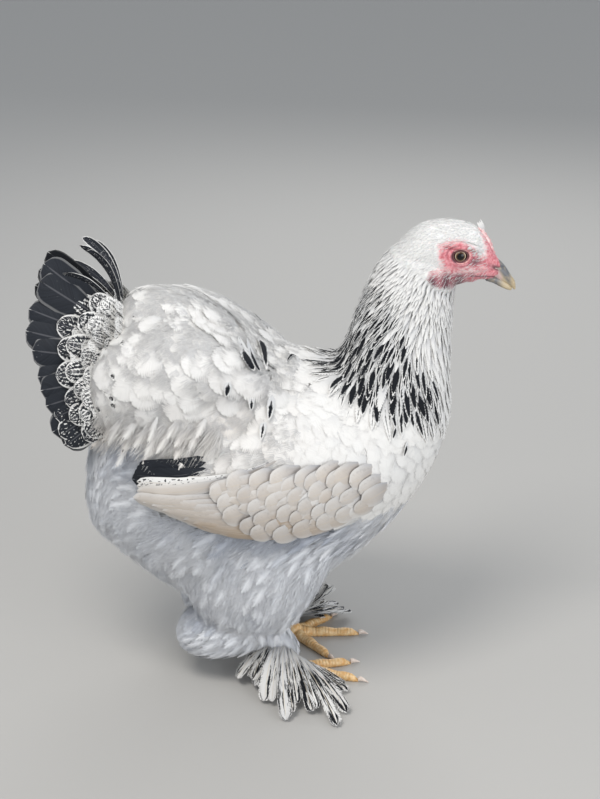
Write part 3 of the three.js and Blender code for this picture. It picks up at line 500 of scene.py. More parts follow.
def feather_material(name, pattern, rough=0.8, root_grey_and_shade=0.30):
    """root_grey_and_shade is how grey a feather is at its root, where others lie over it: partly its own
    greyer base, partly painted shade under the feathers over it.
    """
    g = FeatherGraph(name)
    base = g.blend(g.grey, g.blend(g.warm, WHITE, TAUPE), GREY)
    base = g.blend(g.ramp(g.barbs, 0.42, 0.75) * 0.16, base, (0.40, 0.39, 0.38, 1))
    # Greyer toward the root: the feather's own greyer base, with painted shade where others lie over it.
    base = g.blend(root_grey_and_shade - g.ramp(g.along, 0.2, 0.8) * root_grey_and_shade, base, GREY)
    g.bump(g.barbs, 0.35, 0.0005)
    return g.surface(pattern(g, base), rough, Specular_IOR_Level=0.15)


def skin_material():
    """Down-covered skin that takes the tones of the coat over it."""
    g = Graph("down_skin")
    black, warm, _, grey = g.marks()
    base = g.blend(grey, g.blend(warm, (0.60, 0.59, 0.57, 1), TAUPE), GREY)
    g.bump(g.noise(g.place(), 500.0, 3.0), 0.4, 0.001)
    return g.surface(g.blend(black, base, BLACK), 0.9, Specular_IOR_Level=0.1)


def face_material():
    """Mottled pink skin. Marks hold bareness, a dark purple that is partly painted shade, pallor and slate.
    """
    g = Graph("face_skin")
    bare, purple_and_shade, pale, slate = g.marks()
    place = g.place()
    spots = g.noise(place, 420.0, 4.0, 0.65)
    pink = g.blend(g.ramp(spots, 0.35, 0.65), (0.58, 0.14, 0.17, 1), (0.79, 0.35, 0.37, 1))
    # The dark purple is the lower cheek's own colour, and painted shade in the folds round the eye, in its
    # socket, in front of it and along the gape.
    pink = g.blend(purple_and_shade * g.ramp(spots, 0.14, 0.46), pink, (0.125, 0.05, 0.065, 1))
    pink = g.blend(pale * g.ramp(g.noise(place, 260.0, 3.0), 0.35, 0.6), pink, (0.84, 0.70, 0.67, 1))
    pink = g.blend(slate, pink, (0.055, 0.045, 0.05, 1))
    g.bump(g.noise(place, 700.0, 3.0), 0.5, 0.0006)
    return g.surface(g.blend(bare, (0.80, 0.785, 0.76, 1), pink), 0.55, Subsurface_Weight=0.12,
                     Subsurface_Radius=(0.004, 0.0015, 0.001))


def eye_material():
    """A dark pupil and iris inside a pale ring."""
    g = Graph("eyeball")
    ring, _ = g.uv("Vane")
    streak = g.noise(g.place(), 900.0, 3.0)
    iris = g.blend(g.ramp(streak, 0.35, 0.65), (0.06, 0.025, 0.012, 1), (0.15, 0.075, 0.035, 1))
    iris = g.blend(g.ramp(ring, 0.355, 0.40), iris, (0.55, 0.45, 0.32, 1))
    iris = g.blend(g.ramp(ring, 0.45, 0.49), iris, (0.03, 0.014, 0.012, 1))
    base = g.blend(g.ramp(ring, 0.26, 0.30), (0.003, 0.003, 0.004, 1), iris)
    return g.surface(base, 0.06, Specular_IOR_Level=0.35)


def bill_material():
    """Horn. Marks hold slate and blush; on the lower bill the slate mark is painted shade at its base."""
    g = Graph("bill_horn")
    slate, blush, _, _ = g.marks()
    n = g.noise(g.place(), 260.0, 4.0)
    horn = g.blend(n, (0.36, 0.27, 0.14, 1), (0.66, 0.55, 0.38, 1))
    horn = g.blend(blush, horn, (0.66, 0.48, 0.46, 1))
    g.bump(g.noise(g.place(), 500.0, 2.0), 0.15, 0.0003)
    return g.surface(g.blend(slate * g.ramp(n, 0.15, 0.5), horn, (0.15, 0.152, 0.162, 1)), 0.34)


def toe_material():
    """Yellow scales. Marks hold the creases between them and pallor."""
    g = Graph("toe_scales")
    crease, pale, _, _ = g.marks()
    n = g.noise(g.place(), 240.0, 4.0)
    base = g.blend(g.ramp(n, 0.3, 0.7), (0.66, 0.36, 0.12, 1), (0.84, 0.62, 0.34, 1))
    base = g.blend(pale, base, (0.80, 0.64, 0.50, 1))
    g.bump(g.noise(g.place(), 900.0, 2.0), 0.3, 0.0003)
    return g.surface(g.blend(crease * 0.6, base, (0.30, 0.15, 0.06, 1)), 0.45)


def plain_material(name, colour, rough, bump=None, spec=0.5, other=None, scale=60.0):
    """One colour, or two in soft patches. bump is a noise's scale, strength and distance."""
    g = Graph(name)
    if other is not None:
        colour = g.blend(g.ramp(g.noise(g.place(), scale, 4.0), 0.38, 0.62), colour, other)
    if bump:
        g.bump(g.noise(g.place(), bump[0], 3.0), bump[1], bump[2])
    return g.surface(colour, rough, Specular_IOR_Level=spec)


# Pieces

def make_object(name, verts, faces, mat, nodes=(), uv=None, bake=None, marks=None):
    """Makes a piece. faces is an array of quads or a list of any faces. verts are in working millimetres.
    nodes are the solids that the piece stands for."""
    mesh = bpy.data.meshes.new(name)
    v = ((verts + SHIFT) / 1000).astype(np.float32)
    sizes = np.array([len(f) for f in faces])
    loops = faces.ravel() if isinstance(faces, np.ndarray) else np.concatenate([np.array(f) for f in faces])
    mesh.vertices.add(len(v))
    mesh.vertices.foreach_set("co", v.ravel())
    mesh.loops.add(len(loops))
    mesh.loops.foreach_set("vertex_index", loops.astype(np.int32))
    mesh.polygons.add(len(sizes))
    mesh.polygons.foreach_set("loop_start", (np.cumsum(sizes) - sizes).astype(np.int32))
    mesh.polygons.foreach_set("use_smooth", np.ones(len(sizes), bool))
    for label, data in (("OFBake", bake), ("Vane", uv)):
        if data is not None:
            mesh.uv_layers.new(name=label).data.foreach_set("uv", data[loops].astype(np.float32).ravel())
    if marks is not None:
        attribute = mesh.attributes.new("Marks", "FLOAT_COLOR", "POINT")
        attribute.data.foreach_set("color", marks.astype(np.float32).ravel())
    mesh.update(calc_edges=True)
    mesh.validate()
    mesh.materials.append(mat)
    obj = linked(name, mesh)
    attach(obj, "root")
    if nodes:
        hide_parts(*nodes)


def marks_of(*values):
    """Four marks for each feather or point, from arrays or single numbers."""
    return np.stack(np.broadcast_arrays(*values), -1)


# Vanes that lie along curves of their own

def free_grid(root, bend, tip, across, width, ridge=0.0, rows=9, side=1):
    """Rows along bent lines. across is the way the vane widens. The face looks toward side."""
    root, bend, tip, across = [np.asarray(v, float) for v in (root, bend, tip, across)]
    t = np.linspace(0, 1, rows)[None, :, None]
    line = arc(root[:, None], bend[:, None], tip[:, None], t)
    along = unit(np.gradient(line, axis=1))
    wide = unit(across[:, None] - along * np.sum(along * across[:, None], -1, keepdims=True))
    normal = np.cross(along, wide)
    flip = np.sign(np.sum(normal[..., 1], axis=1) * side)[:, None, None]
    flip = np.where(flip == 0, 1, flip)
    wide, normal = wide * flip, normal * flip
    half = (np.broadcast_to(width, len(root)) / 2)[:, None, None]
    grid = np.stack([line - wide * half, line + normal * ridge, line + wide * half], 2)
    return grid, np.repeat(normal[:, :, None], 3, 2)


# Feather forms. Each is a flat pattern of points, with u across from -1 to 1, v from root to tip, a lift and
# the share of the way from shaft to edge, and the faces between them.

def outline(shape, a, sweep):
    """Half width and level of a vane's edge, a share a of the way round from root to tip."""
    if shape == "round":
        wide = min(1.0, 0.45 + 1.6 * a) * (1 - max(0.0, (a - 0.5) / 0.5) ** 2.4) ** 0.5
        level = 0.02 + sweep + (0.96 - sweep) * a**0.9
    elif shape == "pointed":
        wide = min(1.0, 0.6 + 1.3 * a) * (1 - a) ** 0.62
        level = 0.03 + sweep + (0.97 - sweep) * a**0.95
    else:
        wide = min(1.0, 0.35 + 1.1 * a) * (1 - max(0.0, (a - 0.8) / 0.2) ** 2.2) ** 0.5
        level = 0.02 + sweep + (0.96 - sweep) * a
    return max(wide, 0.04), min(level, 1.0)


# How far up a vane its shaft goes
STEM = 0.93


def closed_form(barbs, shape, sweep=0.1):
    """A closed vane, two rows of faces on each side of the shaft."""
    rows, quads = [], []
    for j in range(barbs + 1):
        a = j / barbs
        wide, level = outline(shape, a, sweep)
        for sign, share in ((-1, 1.0), (-1, 0.55), (0, 0.0), (1, 0.55), (1, 1.0)):
            rows.append((sign * wide * share, mix(STEM * a, level, share**0.8), 0.0, sign * share))
        if j:
            quads += [(5 * j + k - 5, 5 * j + k - 4, 5 * j + k + 1, 5 * j + k) for k in range(4)]
    return np.array(rows).T, np.array(quads)


def barbed_form(barbs, shape, split=0.6, fill=0.4, sweep=0.16, jag=0.15, seed=1):
    """A vane whose barbs part beyond the split and end narrow, as on a soft feather."""
    pick = np.random.default_rng(seed)
    rows = [(0.0, STEM * j / barbs, 0.0, 0.0) for j in range(barbs + 1)]
    quads = []
    for sign in (-1, 1):
        middle = []
        for j in range(barbs + 1):
            wide, level = outline(shape, j / barbs, sweep)
            middle.append(len(rows))
            rows.append((sign * wide * split, mix(STEM * j / barbs, level, split**0.8), 0.0, sign * split))
        for j in range(barbs):
            reach = 1 + jag * (pick.random() - 0.65)
            raised = 0.02 * (pick.random() - 0.4)
            begin = len(rows)
            for offset in (-fill / 2, fill / 2):
                wide, level = outline(shape, (j + 0.5 + offset) / barbs, sweep)
                rows.append((sign * wide * reach, mix(STEM * (j + 0.5) / barbs, level, reach), raised, sign))
            inner = (j, middle[j], middle[j + 1], j + 1)
            edge = (middle[j], begin, begin + 1, middle[j + 1])
            quads += [inner, edge] if sign > 0 else [inner[::-1], edge[::-1]]
    return np.array(rows).T, np.array(quads)


def tuft_form(strands, spread, thick, seed, curl=0.05):
    """Thin strands of down fanned a little from one root."""
    pick = np.random.default_rng(seed)
    rows, quads = [], []
    for k in range(strands):
        side = 2 * (k + 0.5) / strands - 1
        angle = spread * side + (pick.random() - 0.5) * spread * 0.6
        length = mix(0.6, 1.0, pick.random())
        bend = (pick.random() - 0.5) * 0.5
        rise = (pick.random() - 0.3) * curl
        begin = len(rows)
        for s, w in ((0.0, 0.8), (0.4, 1.0), (0.75, 0.7), (1.0, 0.1)):
            at = length * s
            direction = angle + bend * s
            for e in (-1, 1):
                rows.append((side * 0.55 + math.sin(direction) * at * 1.7 + e * w * thick,
                             math.cos(direction) * at, rise * s * s, 0.5 * e))
        quads += [(begin + 2 * s, begin + 2 * s + 1, begin + 2 * s + 3, begin + 2 * s + 2) for s in range(3)]
    return np.array(rows).T, np.array(quads)


FORMS = {
    "under": closed_form(5, "round"),
    "contour": barbed_form(15, "round", 0.66, 0.7, 0.18, 0.10, 3),
    "loose": barbed_form(18, "round", 0.42, 0.5, 0.28, 0.3, 5),
    "scallop": closed_form(10, "round"),
    "lance": closed_form(6, "pointed"),
    "hackle": barbed_form(12, "pointed", 0.6, 0.6, 0.14, 0.16, 7),
    "face": closed_form(3, "pointed"),
    "leaf": closed_form(4, "pointed"),
    "plume": barbed_form(17, "pointed", 0.2, 0.34, 0.36, 0.6, 15),
    "bristle": closed_form(2, "pointed"),
    "tuft": tuft_form(14, 0.34, 0.028, 5, 0.03),
    "wisp": tuft_form(14, 0.46, 0.032, 11, 0.06),
    "vane": closed_form(24, "blade", 0.06),
    "broad": closed_form(20, "round", 0.08),
    "boot": barbed_form(30, "blade", 0.5, 0.7, 0.18, 0.22, 9),
}


# Width of a feather's patch on the unwrap, and the lowest place of any feather over the floor
PATCH, LOWEST = 0.003, 0.4


class Coat:
    """Collects feathers for one piece."""

    def __init__(self):
        self.parts = []

    def add(self, grid, normals, form, marks, roots, low=0.0, high=0.0, camber=0.0, wave=0.0, mirror=False):
        """grid is feathers x rows x 3 places, from edge to edge, with a normal for each.
        low and high are lifts of root and tip, and camber lowers the edges."""
        (u, v, extra, share), quads = FORMS[form]
        count, rows = grid.shape[:2]
        if count == 0:
            return
        s = np.clip(v, 0, 1) * (rows - 1)
        i = np.minimum(s.astype(int), rows - 2)
        f = (s - i)[None, :, None, None]
        cell = mix(grid[:, i], grid[:, i + 1], f)
        norm = mix(normals[:, i], normals[:, i + 1], f)
        w = u[None, :, None]
        left, middle, right = cell[:, :, 0], cell[:, :, 1], cell[:, :, 2]
        place = middle + (right - left) / 2 * w + ((right + left) / 2 - middle) * w * w
        n = unit(norm[:, :, 1])
        length = np.linalg.norm(grid[:, -1, 1] - grid[:, 0, 1], axis=1)[:, None]
        low, high = [np.broadcast_to(np.asarray(h, float), (count,))[:, None] for h in (low, high)]
        rise = mix(low, high, (np.clip(v, 0, 1) ** 0.85)[None, :])
        rise = rise + extra[None, :] * length - camber * (u * u)[None, :] + 0.1 * (1 - u * u)[None, :]
        if wave:
            phase = rng.random((count, 1)) * 6.28
            rise = rise + wave * np.sin(phase + u[None, :] * 5 + v[None, :] * 3) * v[None, :]
        place = place + n * rise[..., None]
        size = len(u)
        faces = (quads[None] + (np.arange(count) * size)[:, None, None]).reshape(-1, 4)
        vane = np.stack([share / 2 * (-1 if mirror else 1) + 0.5, np.clip(v, 0, 1)], -1)
        patch = np.clip(unwrap(roots)[:, None, :] + (vane[None] - 0.5) * PATCH, 0.001, 0.999)
        self.parts.append((place.reshape(-1, 3), faces, np.tile(vane, (count, 1)), patch.reshape(-1, 2),
                           np.repeat(marks, size, axis=0)))

    def build(self, name, mat, slot, nodes=()):
        """Makes the piece from the feathers collected."""
        base, verts, faces = 0, [], []
        for v, f, *_ in self.parts:
            verts.append(v)
            faces.append(f + base)
            base += len(v)
        uv, bake, marks = [np.vstack([p[k] for p in self.parts]) for k in (2, 3, 4)]
        verts = np.vstack(verts)
        verts[:, 2] = np.maximum(verts[:, 2], FLOOR + LOWEST)
        make_object(name, verts, np.vstack(faces), mat, nodes, uv, bake, marks)


# Regions of the bird, the lie of its coat and its tones

# Planes under the head and under the neck: a place on each and its direction
UNDER_HEAD = (110, 0, 381), (0.51, 0, 0.86)
UNDER_NECK = (80, 0, 285), (0.35, 0, 0.94)
# Heights on the neck, with the place of its axis and its depth at each
NECK_LEVELS, NECK_MIDDLE, NECK_DEPTH = [200, 254, 310, 358, 410], [62, 76, 91, 101, 118], [54, 58, 47, 33, 12]


def plane(p, at, normal):
    """How far places lie past a plane."""
    n = np.array(normal) / np.linalg.norm(normal)
    return (p - np.array(at)) @ n


def on_head(p):
    """How far up on the head places lie, negative below it."""
    return plane(p, *UNDER_HEAD)


def on_neck(p):
    """How far up on the neck or head places lie, negative elsewhere."""
    return np.minimum(plane(p, *UNDER_NECK), p[..., 0] - 15)


def neck_axis(z):
    """Where the neck's axis runs in the side view."""
    return np.interp(z, NECK_LEVELS, NECK_MIDDLE)


def wing_edges(x):
    """Heights of the wing's lower and upper edges."""
    return np.interp(x, WING[:, 0], WING[:, 1]), np.interp(x, WING[:, 0], WING[:, 2])


def cloud(p, size, seed):
    """A soft blotchy field over space, about -1 to 1."""
    pick = np.random.default_rng(seed)
    total = 0
    for _ in range(5):
        direction = unit(pick.normal(size=3)) * 2 * math.pi / size * pick.uniform(0.6, 1.6)
        total = total + np.sin(p @ direction + pick.uniform(0, 6.28))
    return total / 2.5


def heading(p, n):
    """The way the feathers point at places on the surface."""
    x, y, z = p[..., 0], p[..., 1], p[..., 2]
    out = np.sign(y)
    one = np.ones_like(x)

    def toward(d, vector, weight):
        return mix(d, np.stack([c * one for c in vector], -1), weight[..., None])

    d = toward(np.zeros_like(p), (-1, 0, -0.3), one)
    d = toward(d, (-0.3, 0, -1), smooth(x, 60, 120) * (z < 300))
    d = toward(d, (-0.9, 0.15 * out, -0.6), smooth(z, 240, 280) * smooth(-x, -30, 20))
    d = toward(d, (-0.45, 0, -1), smooth(-x, 150, 186))
    d = toward(d, (-0.75, 0, -0.8), smooth(-z, -190, -160) * smooth(-x, -60, 60))
    d = toward(d, (-0.3, 0, -1), smooth(-z, -150, -110) * smooth(np.abs(y), 8, 25))
    hock = smooth(-z, -70, -52)
    d = toward(d, (-0.8, 0, -0.5), hock * smooth(-x, 30, 62))
    d = toward(d, (0.35, 0.3 * out, -1), hock * smooth(x, -48, -30))
    depth = np.clip((x - neck_axis(z)) / np.interp(z, NECK_LEVELS, NECK_DEPTH), -1.2, 1.2)
    cape = smooth(-z, -350, -290)
    spine = 1.5 * smooth(-x, -44, -16) * smooth(-np.abs(y), -44, -24)
    lean = mix(0.50 - 0.3 * depth, 0.04 - 0.33 * depth, cape) + spine
    fall = np.stack([-lean, 0.45 * out * cape * smooth(-depth, -0.2, 0.6), -one], -1)
    d = mix(d, fall, smooth(on_neck(p), -52, -30)[..., None])
    head = smooth(on_head(p), -4, 8)
    d = toward(d, (-1, 0, -0.25 - 0.9 * smooth(-x, -120, -95)), head)
    d = toward(d, (-0.6, 0, -0.8), head * smooth(-z, -392, -380))
    d = d - n * np.sum(d * n, -1, keepdims=True)
    return unit(d)


def tones(p):
    """Black, warm and grey shares of the coat at places on the body. Part of the grey is painted shade."""
    x, y, z = p[..., 0], np.abs(p[..., 1]), p[..., 2]
    patches = cloud(p, 60, 3)
    low = smooth(-z, -200, -160)
    upper = smooth(z, 215, 250) * smooth(-x, -40, 40)
    warm = 0.04 + 0.16 * upper * smooth(-z, -330, -255) * (1 + 0.6 * patches) + 0.06 * low * (patches > 0.2)
    # Painted shadow: a dark line just under the wing's lower edge, and painted shade at the hock, between its
    # plume and the thigh.
    edge = bell((z - wing_edges(x)[0] + 3) / 5) * smooth(y, 50, 70)
    edge = edge * smooth(-x, -60, -30) * smooth(x, -120, -60)
    hock = bell((x + 90) / 11, (z - 72) / 13)
    # Low on the body the grey rises in blotches: partly painted shade of the underside, partly the down's own
    # grey streaks.
    grey = 0.02 + 0.9 * np.maximum(edge, hock) + 0.42 * low * smooth(cloud(p * (1, 1, 0.6), 42, 5), 0.15, 1.0)
    grey = grey + 0.08 * smooth(cloud(p, 50, 8), 0.3, 1)
    # Painted shade round the wing's tip, in the gap under the cushion.
    shade_by_wing_tip = smooth(-x, 112, 135) * smooth(x, -172, -150) * smooth(z, 208, 226) * smooth(-z, -262, -246)
    grey = grey + 0.75 * shade_by_wing_tip * smooth(y, 30, 60)
    neck = smooth(on_neck(p), -4, 12)
    turned = np.abs(np.arctan2(y, x - neck_axis(z)))
    front = np.interp(z, [287, 322, 345, 369, 397], [0.75, 1.05, 1.45, 2.0, 2.5])
    black = neck * smooth(turned, front - 0.2, front + 0.35) * mix(1.0, 0.6, smooth(z, 310, 388))
    head = smooth(on_head(p), -2, 6)
    return black * (1 - head), np.clip(warm, 0, 1) * (1 - neck), np.clip(grey, 0, 1) * (1 - 0.7 * head)


def unwrap(p):
    """A root's place on an unwrap of the body: round each form's own axis, each in its own strip."""
    x, y, z = p[..., 0], p[..., 1], p[..., 2]
    u = 0.5 + 0.49 * np.arctan2(y, z - 206) / math.pi
    v = 0.02 + 0.55 * (x + 262) / 470
    neck = on_neck(p) > 0
    u = np.where(neck, 0.5 + 0.49 * np.arctan2(y, x - neck_axis(z)) / math.pi, u)
    v = np.where(neck, 0.60 + 0.18 * (z - 230) / 220, v)
    leg = (z < 150) & (np.abs(y) > 10) & (x < 70)
    turn = np.arctan2(np.abs(y) - 44, x + 50) / math.pi
    u = np.where(leg, 0.5 + np.sign(y) * (0.25 + 0.24 * turn), u)
    v = np.where(leg, 0.80 + 0.19 * (z + 10) / 165, v)
    return np.clip(np.stack([u, v], -1), 0.004, 0.996)


def lay(surface, roots, length, width, turn=0.0, rows=5):
    """Carries feathers over the surface from their roots along the lie."""
    count = len(roots)
    place, normal = surface.nearest(roots)
    turn = np.broadcast_to(turn, (count,))
    grid = np.empty((count, rows, 3, 3))
    norms = np.empty((count, rows, 3, 3))
    for r in range(rows):
        d = heading(place, normal)
        d = unit(d * np.cos(turn)[:, None] + np.cross(normal, d) * np.sin(turn)[:, None])
        across = np.cross(normal, d)
        half = (width / 2)[:, None]
        spots, spot_normals = surface.nearest(np.stack([place - across * half, place + across * half], 1))
        for whole, middle, ends in ((grid, place, spots), (norms, normal, spot_normals)):
            whole[:, r, 1] = middle
            whole[:, r, ::2] = ends
        if r < rows - 1:
            place, normal = surface.nearest(place + d * (length / (rows - 1))[:, None])
    return grid, norms


# The body's surfaces

TRUNK_SECTIONS = [[x, 0, widest, half, top - widest, widest - under] for x, top, under, widest, half in TRUNK]
TRUNK_TABLE = np.array(TRUNK_SECTIONS, float)


def flank(x, z):
    """How far out the trunk's side lies at a place in the side view."""
    widest, half, rise, fall = [np.interp(x, TRUNK_TABLE[:, 0], TRUNK_TABLE[:, k]) for k in (2, 3, 4, 5)]
    level = np.minimum(0.97, np.abs(z - widest) / np.where(z > widest, rise, fall))
    return half * (1 - level**2.2) ** (1 / 2.2)


# How thick the wing lies on the flank, and how far its tip stands off it
WING_PAD, WING_OFF = 9.0, 9.0


def wing_face(x, z):
    """How far out the folded wing's face lies."""
    low, high = wing_edges(x)
    across = np.clip((z - low) / (high - low), 0, 1)
    along = np.clip((x - WING[0, 0]) / (WING[-1, 0] - WING[0, 0]), 0, 1)
    crown = np.sin(math.pi * across) ** 0.6 * np.sin(math.pi * mix(0.12, 1, along)) ** 0.7
    return flank(x, z) + 3 + WING_PAD * crown + WING_OFF * (1 - along) ** 2


def wing_pad(side):
    """The wing's own body under its feathers, bedded in the trunk."""
    steps, across = 60, 24
    row = across + 1
    x = np.linspace(WING[0, 0] + 12, WING[-1, 0], steps + 1)[:, None] * np.ones(row)
    low, high = wing_edges(x)
    z = mix(low + 3, high - 2, np.linspace(0, 1, row)[None, :])
    face = wing_face(x, z) - 1.0
    bed = flank(x, z) - 8
    back = (steps + 1) * row
    faces = []
    for i in range(steps):
        for j in range(across):
            a = i * row + j
            faces.append((a, a + row, a + row + 1, a + 1))
            faces.append((back + a, back + a + 1, back + a + row + 1, back + a + row))
        a, b = i * row, i * row + across
        faces.append((a, back + a, back + a + row, a + row))
        faces.append((b, b + row, back + b + row, back + b))
    for j in range(across):
        a, b = j, steps * row + j
        faces.append((a, a + 1, back + a + 1, back + a))
        faces.append((b, back + b, back + b + 1, b + 1))
    if side == RIGHT:
        faces = [f[::-1] for f in faces]
    verts = [np.stack([x, y * side, z], -1).reshape(-1, 3) for y in (face, bed)]
    return np.vstack(verts), faces


# Ways that sections face or that their tops point
AHEAD = (1, 0, 0)
UPRIGHT = (1, 0, 0.1)
skull = loft(HEAD, 60, 64, 2.15, plumb=AHEAD)
neck = loft(NECK, 40, 48, up=UPRIGHT)
flesh = [loft(TRUNK_SECTIONS, 60, 56, 2.2, plumb=AHEAD), neck, skull]
for side in (RIGHT, LEFT):
    flesh += [loft(CUSHION, 36, 36, plumb=AHEAD, side=side), loft(THIGH, 30, 36, up=UPRIGHT, side=side),
              loft(SHANK, 40, 28, up=(0.62, 0, 0.78), side=side), wing_pad(side)]
outer = Surface(*fused(flesh, voxel=2.6, relax=6))

# Depth of the skin on the body, and on the head and feet
DEEP, SHALLOW = 5.0, 0.8


def coat_depth(p):
    """How far under the coat's surface the skin lies."""
    head = smooth(on_head(p), 1, 8)
    foot = smooth(-p[..., 2], -40, -12)
    return mix(mix(DEEP, SHALLOW, head), SHALLOW, foot)


def trimmed(v, quads):
    """The numbers of the places that the faces use, and the faces numbered by them."""
    used = np.unique(quads)
    renumbered = np.zeros(len(v), int)
    renumbered[used] = np.arange(len(used))
    return used, renumbered[quads]


skin_v = relaxed(outer.v - outer.normals * coat_depth(outer.v)[:, None], outer.quads, 2)
used, skin_q = trimmed(outer.v, outer.quads[on_head(outer.v[outer.quads].mean(1)) < 2])
black, warm, grey = tones(outer.v[used])
mat_skin = skin_material()
make_object("skin", skin_v[used], skin_q, mat_skin,
            ["torso", "saddle", "neck", "head", "thigh_right", "thigh_left"],
            marks=marks_of(black * 0.8, warm, 0.0, grey))

# The head's own skin, finer, with the folds of its bare face

jowl = np.array(WATTLE) * (1, 1, 1, 0.7, 0.6, 0.5) + (0, 0, 2.2, 0, 0, 0)
face_parts = [neck, skull]
for side in (RIGHT, LEFT):
    earlobe = ball((124, side * 18.0, 391), radius=5.6, stretch=(0.8, 0.4, 1.2))
    face_parts += [loft(BROW, 24, 20, side=side), loft(jowl, 24, 20, side=side), earlobe]

# The outline of the bare skin in the side view: x, z
BARE_FACE = [
    (120.6, 414.5), (128, 418.5), (140, 419.5), (149.6, 416), (157, 408), (162, 403.5), (162.5, 411.5),
    (158.5, 425), (166, 428), (173, 417), (178, 404), (186, 396), (186, 366), (158, 366), (142, 370.5),
    (129, 374), (117.5, 377.5), (111.8, 383.8), (114.4, 392.4), (123.2, 395.3), (121.2, 404),
]
NOSTRIL = (175.4, 389.2)
# Rings round the eye: radius, height, thickness. Those past LID_EDGE wander.
EYE_RINGS = ((8.4, 0.9, 0.9), (10.6, -0.6, 0.6), (12.1, 0.45, 0.8), (14.1, -0.35, 0.6))
LID_EDGE = 9


def inside_by(x, z, corners):
    """How far places in the side view lie inside an outline, negative outside."""
    far = np.full(x.shape, 1e9)
    inside = np.zeros(x.shape, bool)
    for (ax, az), (bx, bz) in zip(corners, corners[1:] + corners[:1]):
        dx, dz = bx - ax, bz - az
        t = np.clip(((x - ax) * dx + (z - az) * dz) / (dx * dx + dz * dz), 0, 1)
        far = np.minimum(far, np.hypot(x - ax - t * dx, z - az - t * dz))
        crosses = (az > z) != (bz > z)
        where = ax + (z - az) / (dz if dz else 1e-9) * dx
        inside ^= crosses & (x < where)
    return np.where(inside, far, -far)


def bare_edge(p):
    """How far inside the bare skin a place lies, seen from the side."""
    x, y, z = p[..., 0], np.abs(p[..., 1]), p[..., 2]
    edge = inside_by(x, z, BARE_FACE) + 0.6 * np.sin(x * 1.3 + np.sin(z * 0.9) * 2)
    throat = smooth(-y, -6, -1) * smooth(-x, -136, -126) * smooth(-z, -382, -376)
    return edge - 12 * throat


def face_mask(p):
    """1 on the bare skin of the face, 0 on the feathered head."""
    return smooth(bare_edge(p), -2.2, 2.2)


def muzzle_edge(z):
    """Where the face's skin ends on the bill, in the side view."""
    return np.clip(176.5 + (z - 383) * 0.55, 172, 182.2) + 0.4 * np.sin(z * 1.3)


def mouth(x, z):
    """Nearness to the line of the mouth."""
    return bell((z - (382.3 - (x - 164) * 0.12)) / 0.8) * smooth(x, 146, 153)


def round_eye(x, z, tall=1.0):
    """Distance from the eye, which is drawn wide, and the way round it."""
    return np.hypot((x - EYE[0]) / 1.16, (z - EYE[2]) / tall), np.arctan2(z - EYE[2], x - EYE[0])


def carve(v, n):
    """Folds round the eye, its socket, the gape and the grain of the bare skin."""
    x, y, z = v.T
    face = face_mask(v)
    sides = smooth(np.abs(y), 6, 10)
    r, turn = round_eye(x, z, 0.95)
    r = r + 0.3 * np.sin(turn * 3 + 1)
    lift = -2.2 * (1 - smooth(r, 4.8, 7.2)) * sides
    uneven = 0.55 + 0.45 * np.sin(turn * 2 + 2.4)
    for ring, height, thick in EYE_RINGS:
        beyond = ring > LID_EDGE
        wander = ring + (0.5 * np.sin(turn * 4 + ring) + 0.3 * np.sin(turn * 9 + ring * 2)) * beyond
        lift += height * bell((r - wander) / thick) * sides * (uneven if beyond else 1)
    bumps = np.sin(x * 2.3 + np.sin(z * 1.7) * 1.2) * np.sin(z * 2.6 + np.sin(x * 1.9) * 1.1)
    lift += 0.25 * bumps * face * smooth(r, 8, 10)
    for level, slope in ((386.5, 0.10), (382.5, 0.22)):
        crease = bell((z - (level + (x - 146) * slope)) / 0.7) * smooth(x, 112, 124) * sides
        lift -= 0.45 * crease * face
    lores = bell((z - (396 - (x - 158) * 0.35)) / 2.2) * smooth(x, 152, 158) * sides
    jaw = smooth(x, 146, 158) * smooth(-z, -384, -378)
    lift -= 0.8 * jaw + 4.2 * smooth(-on_head(v), -7, 6)
    lift -= 1.0 * smooth(x, 130, 142) * smooth(-z, -381, -376)
    lift -= 2.0 * mouth(x, z) + 1.5 * smooth(x - muzzle_edge(z), -3.5, 0.5)
    dx, dz = x - NOSTRIL[0], z - NOSTRIL[1]
    lift -= 1.8 * bell((dx * 0.9 - dz * 0.42) / 3.4, (dz * 0.9 + dx * 0.42) / 1.1)
    return v + n * (lift - 0.7 * lores)[:, None]


head_v, head_q = fused(face_parts, voxel=0.75, relax=3)
head_v = carve(head_v, normals_of(head_v, head_q))
middle = head_v[head_q].mean(1)
used, head_q = trimmed(head_v, head_q[(on_head(middle) > -12) & (middle[:, 0] < muzzle_edge(middle[:, 2]))])
head_v = head_v[used]
x, _, z = head_v.T
r, turn = round_eye(x, z)
low_cheek = smooth(-z, -394, -383) * (0.8 + 0.2 * np.sin(x * 0.5)) * smooth(-x, -160, -140)
# Painted shade in the eye's socket, in the folds round it and in the hollow in front of it.
socket = 1 - smooth(r, 6.4, 8.0)
fold = (0.5 * bell((r - 10.6) / 0.8) + 0.35 * bell(r - 14)) * (0.6 + 0.4 * np.sin(turn * 3))
fold += 0.8 * bell(np.hypot(x - 154.5, (z - 398.4) * 1.4) / 6)
# The lower cheek's own dark purple, with the painted shade above and painted shade along the gape.
purple_and_shade = np.maximum.reduce([low_cheek, socket, fold, mouth(x, z)])
pale = 0.6 * bell((z - 390.5) / 3.2) * smooth(-x, -170, -158)
pale = pale + 0.75 * smooth(-bare_edge(head_v), -6, 0) * (z > 392)
dx, dz = x - NOSTRIL[0], z - NOSTRIL[1]
slate = bell((dx + 0.8) / 5.2, (dz + dx * 0.45) / 2.5) * 0.95
head_surface = Surface(head_v, head_q)
make_object("face", head_v, head_q, face_material(),
            marks=marks_of(face_mask(head_v), np.clip(purple_and_shade, 0, 1), np.clip(pale, 0, 1), slate))

# The coat laid on the body

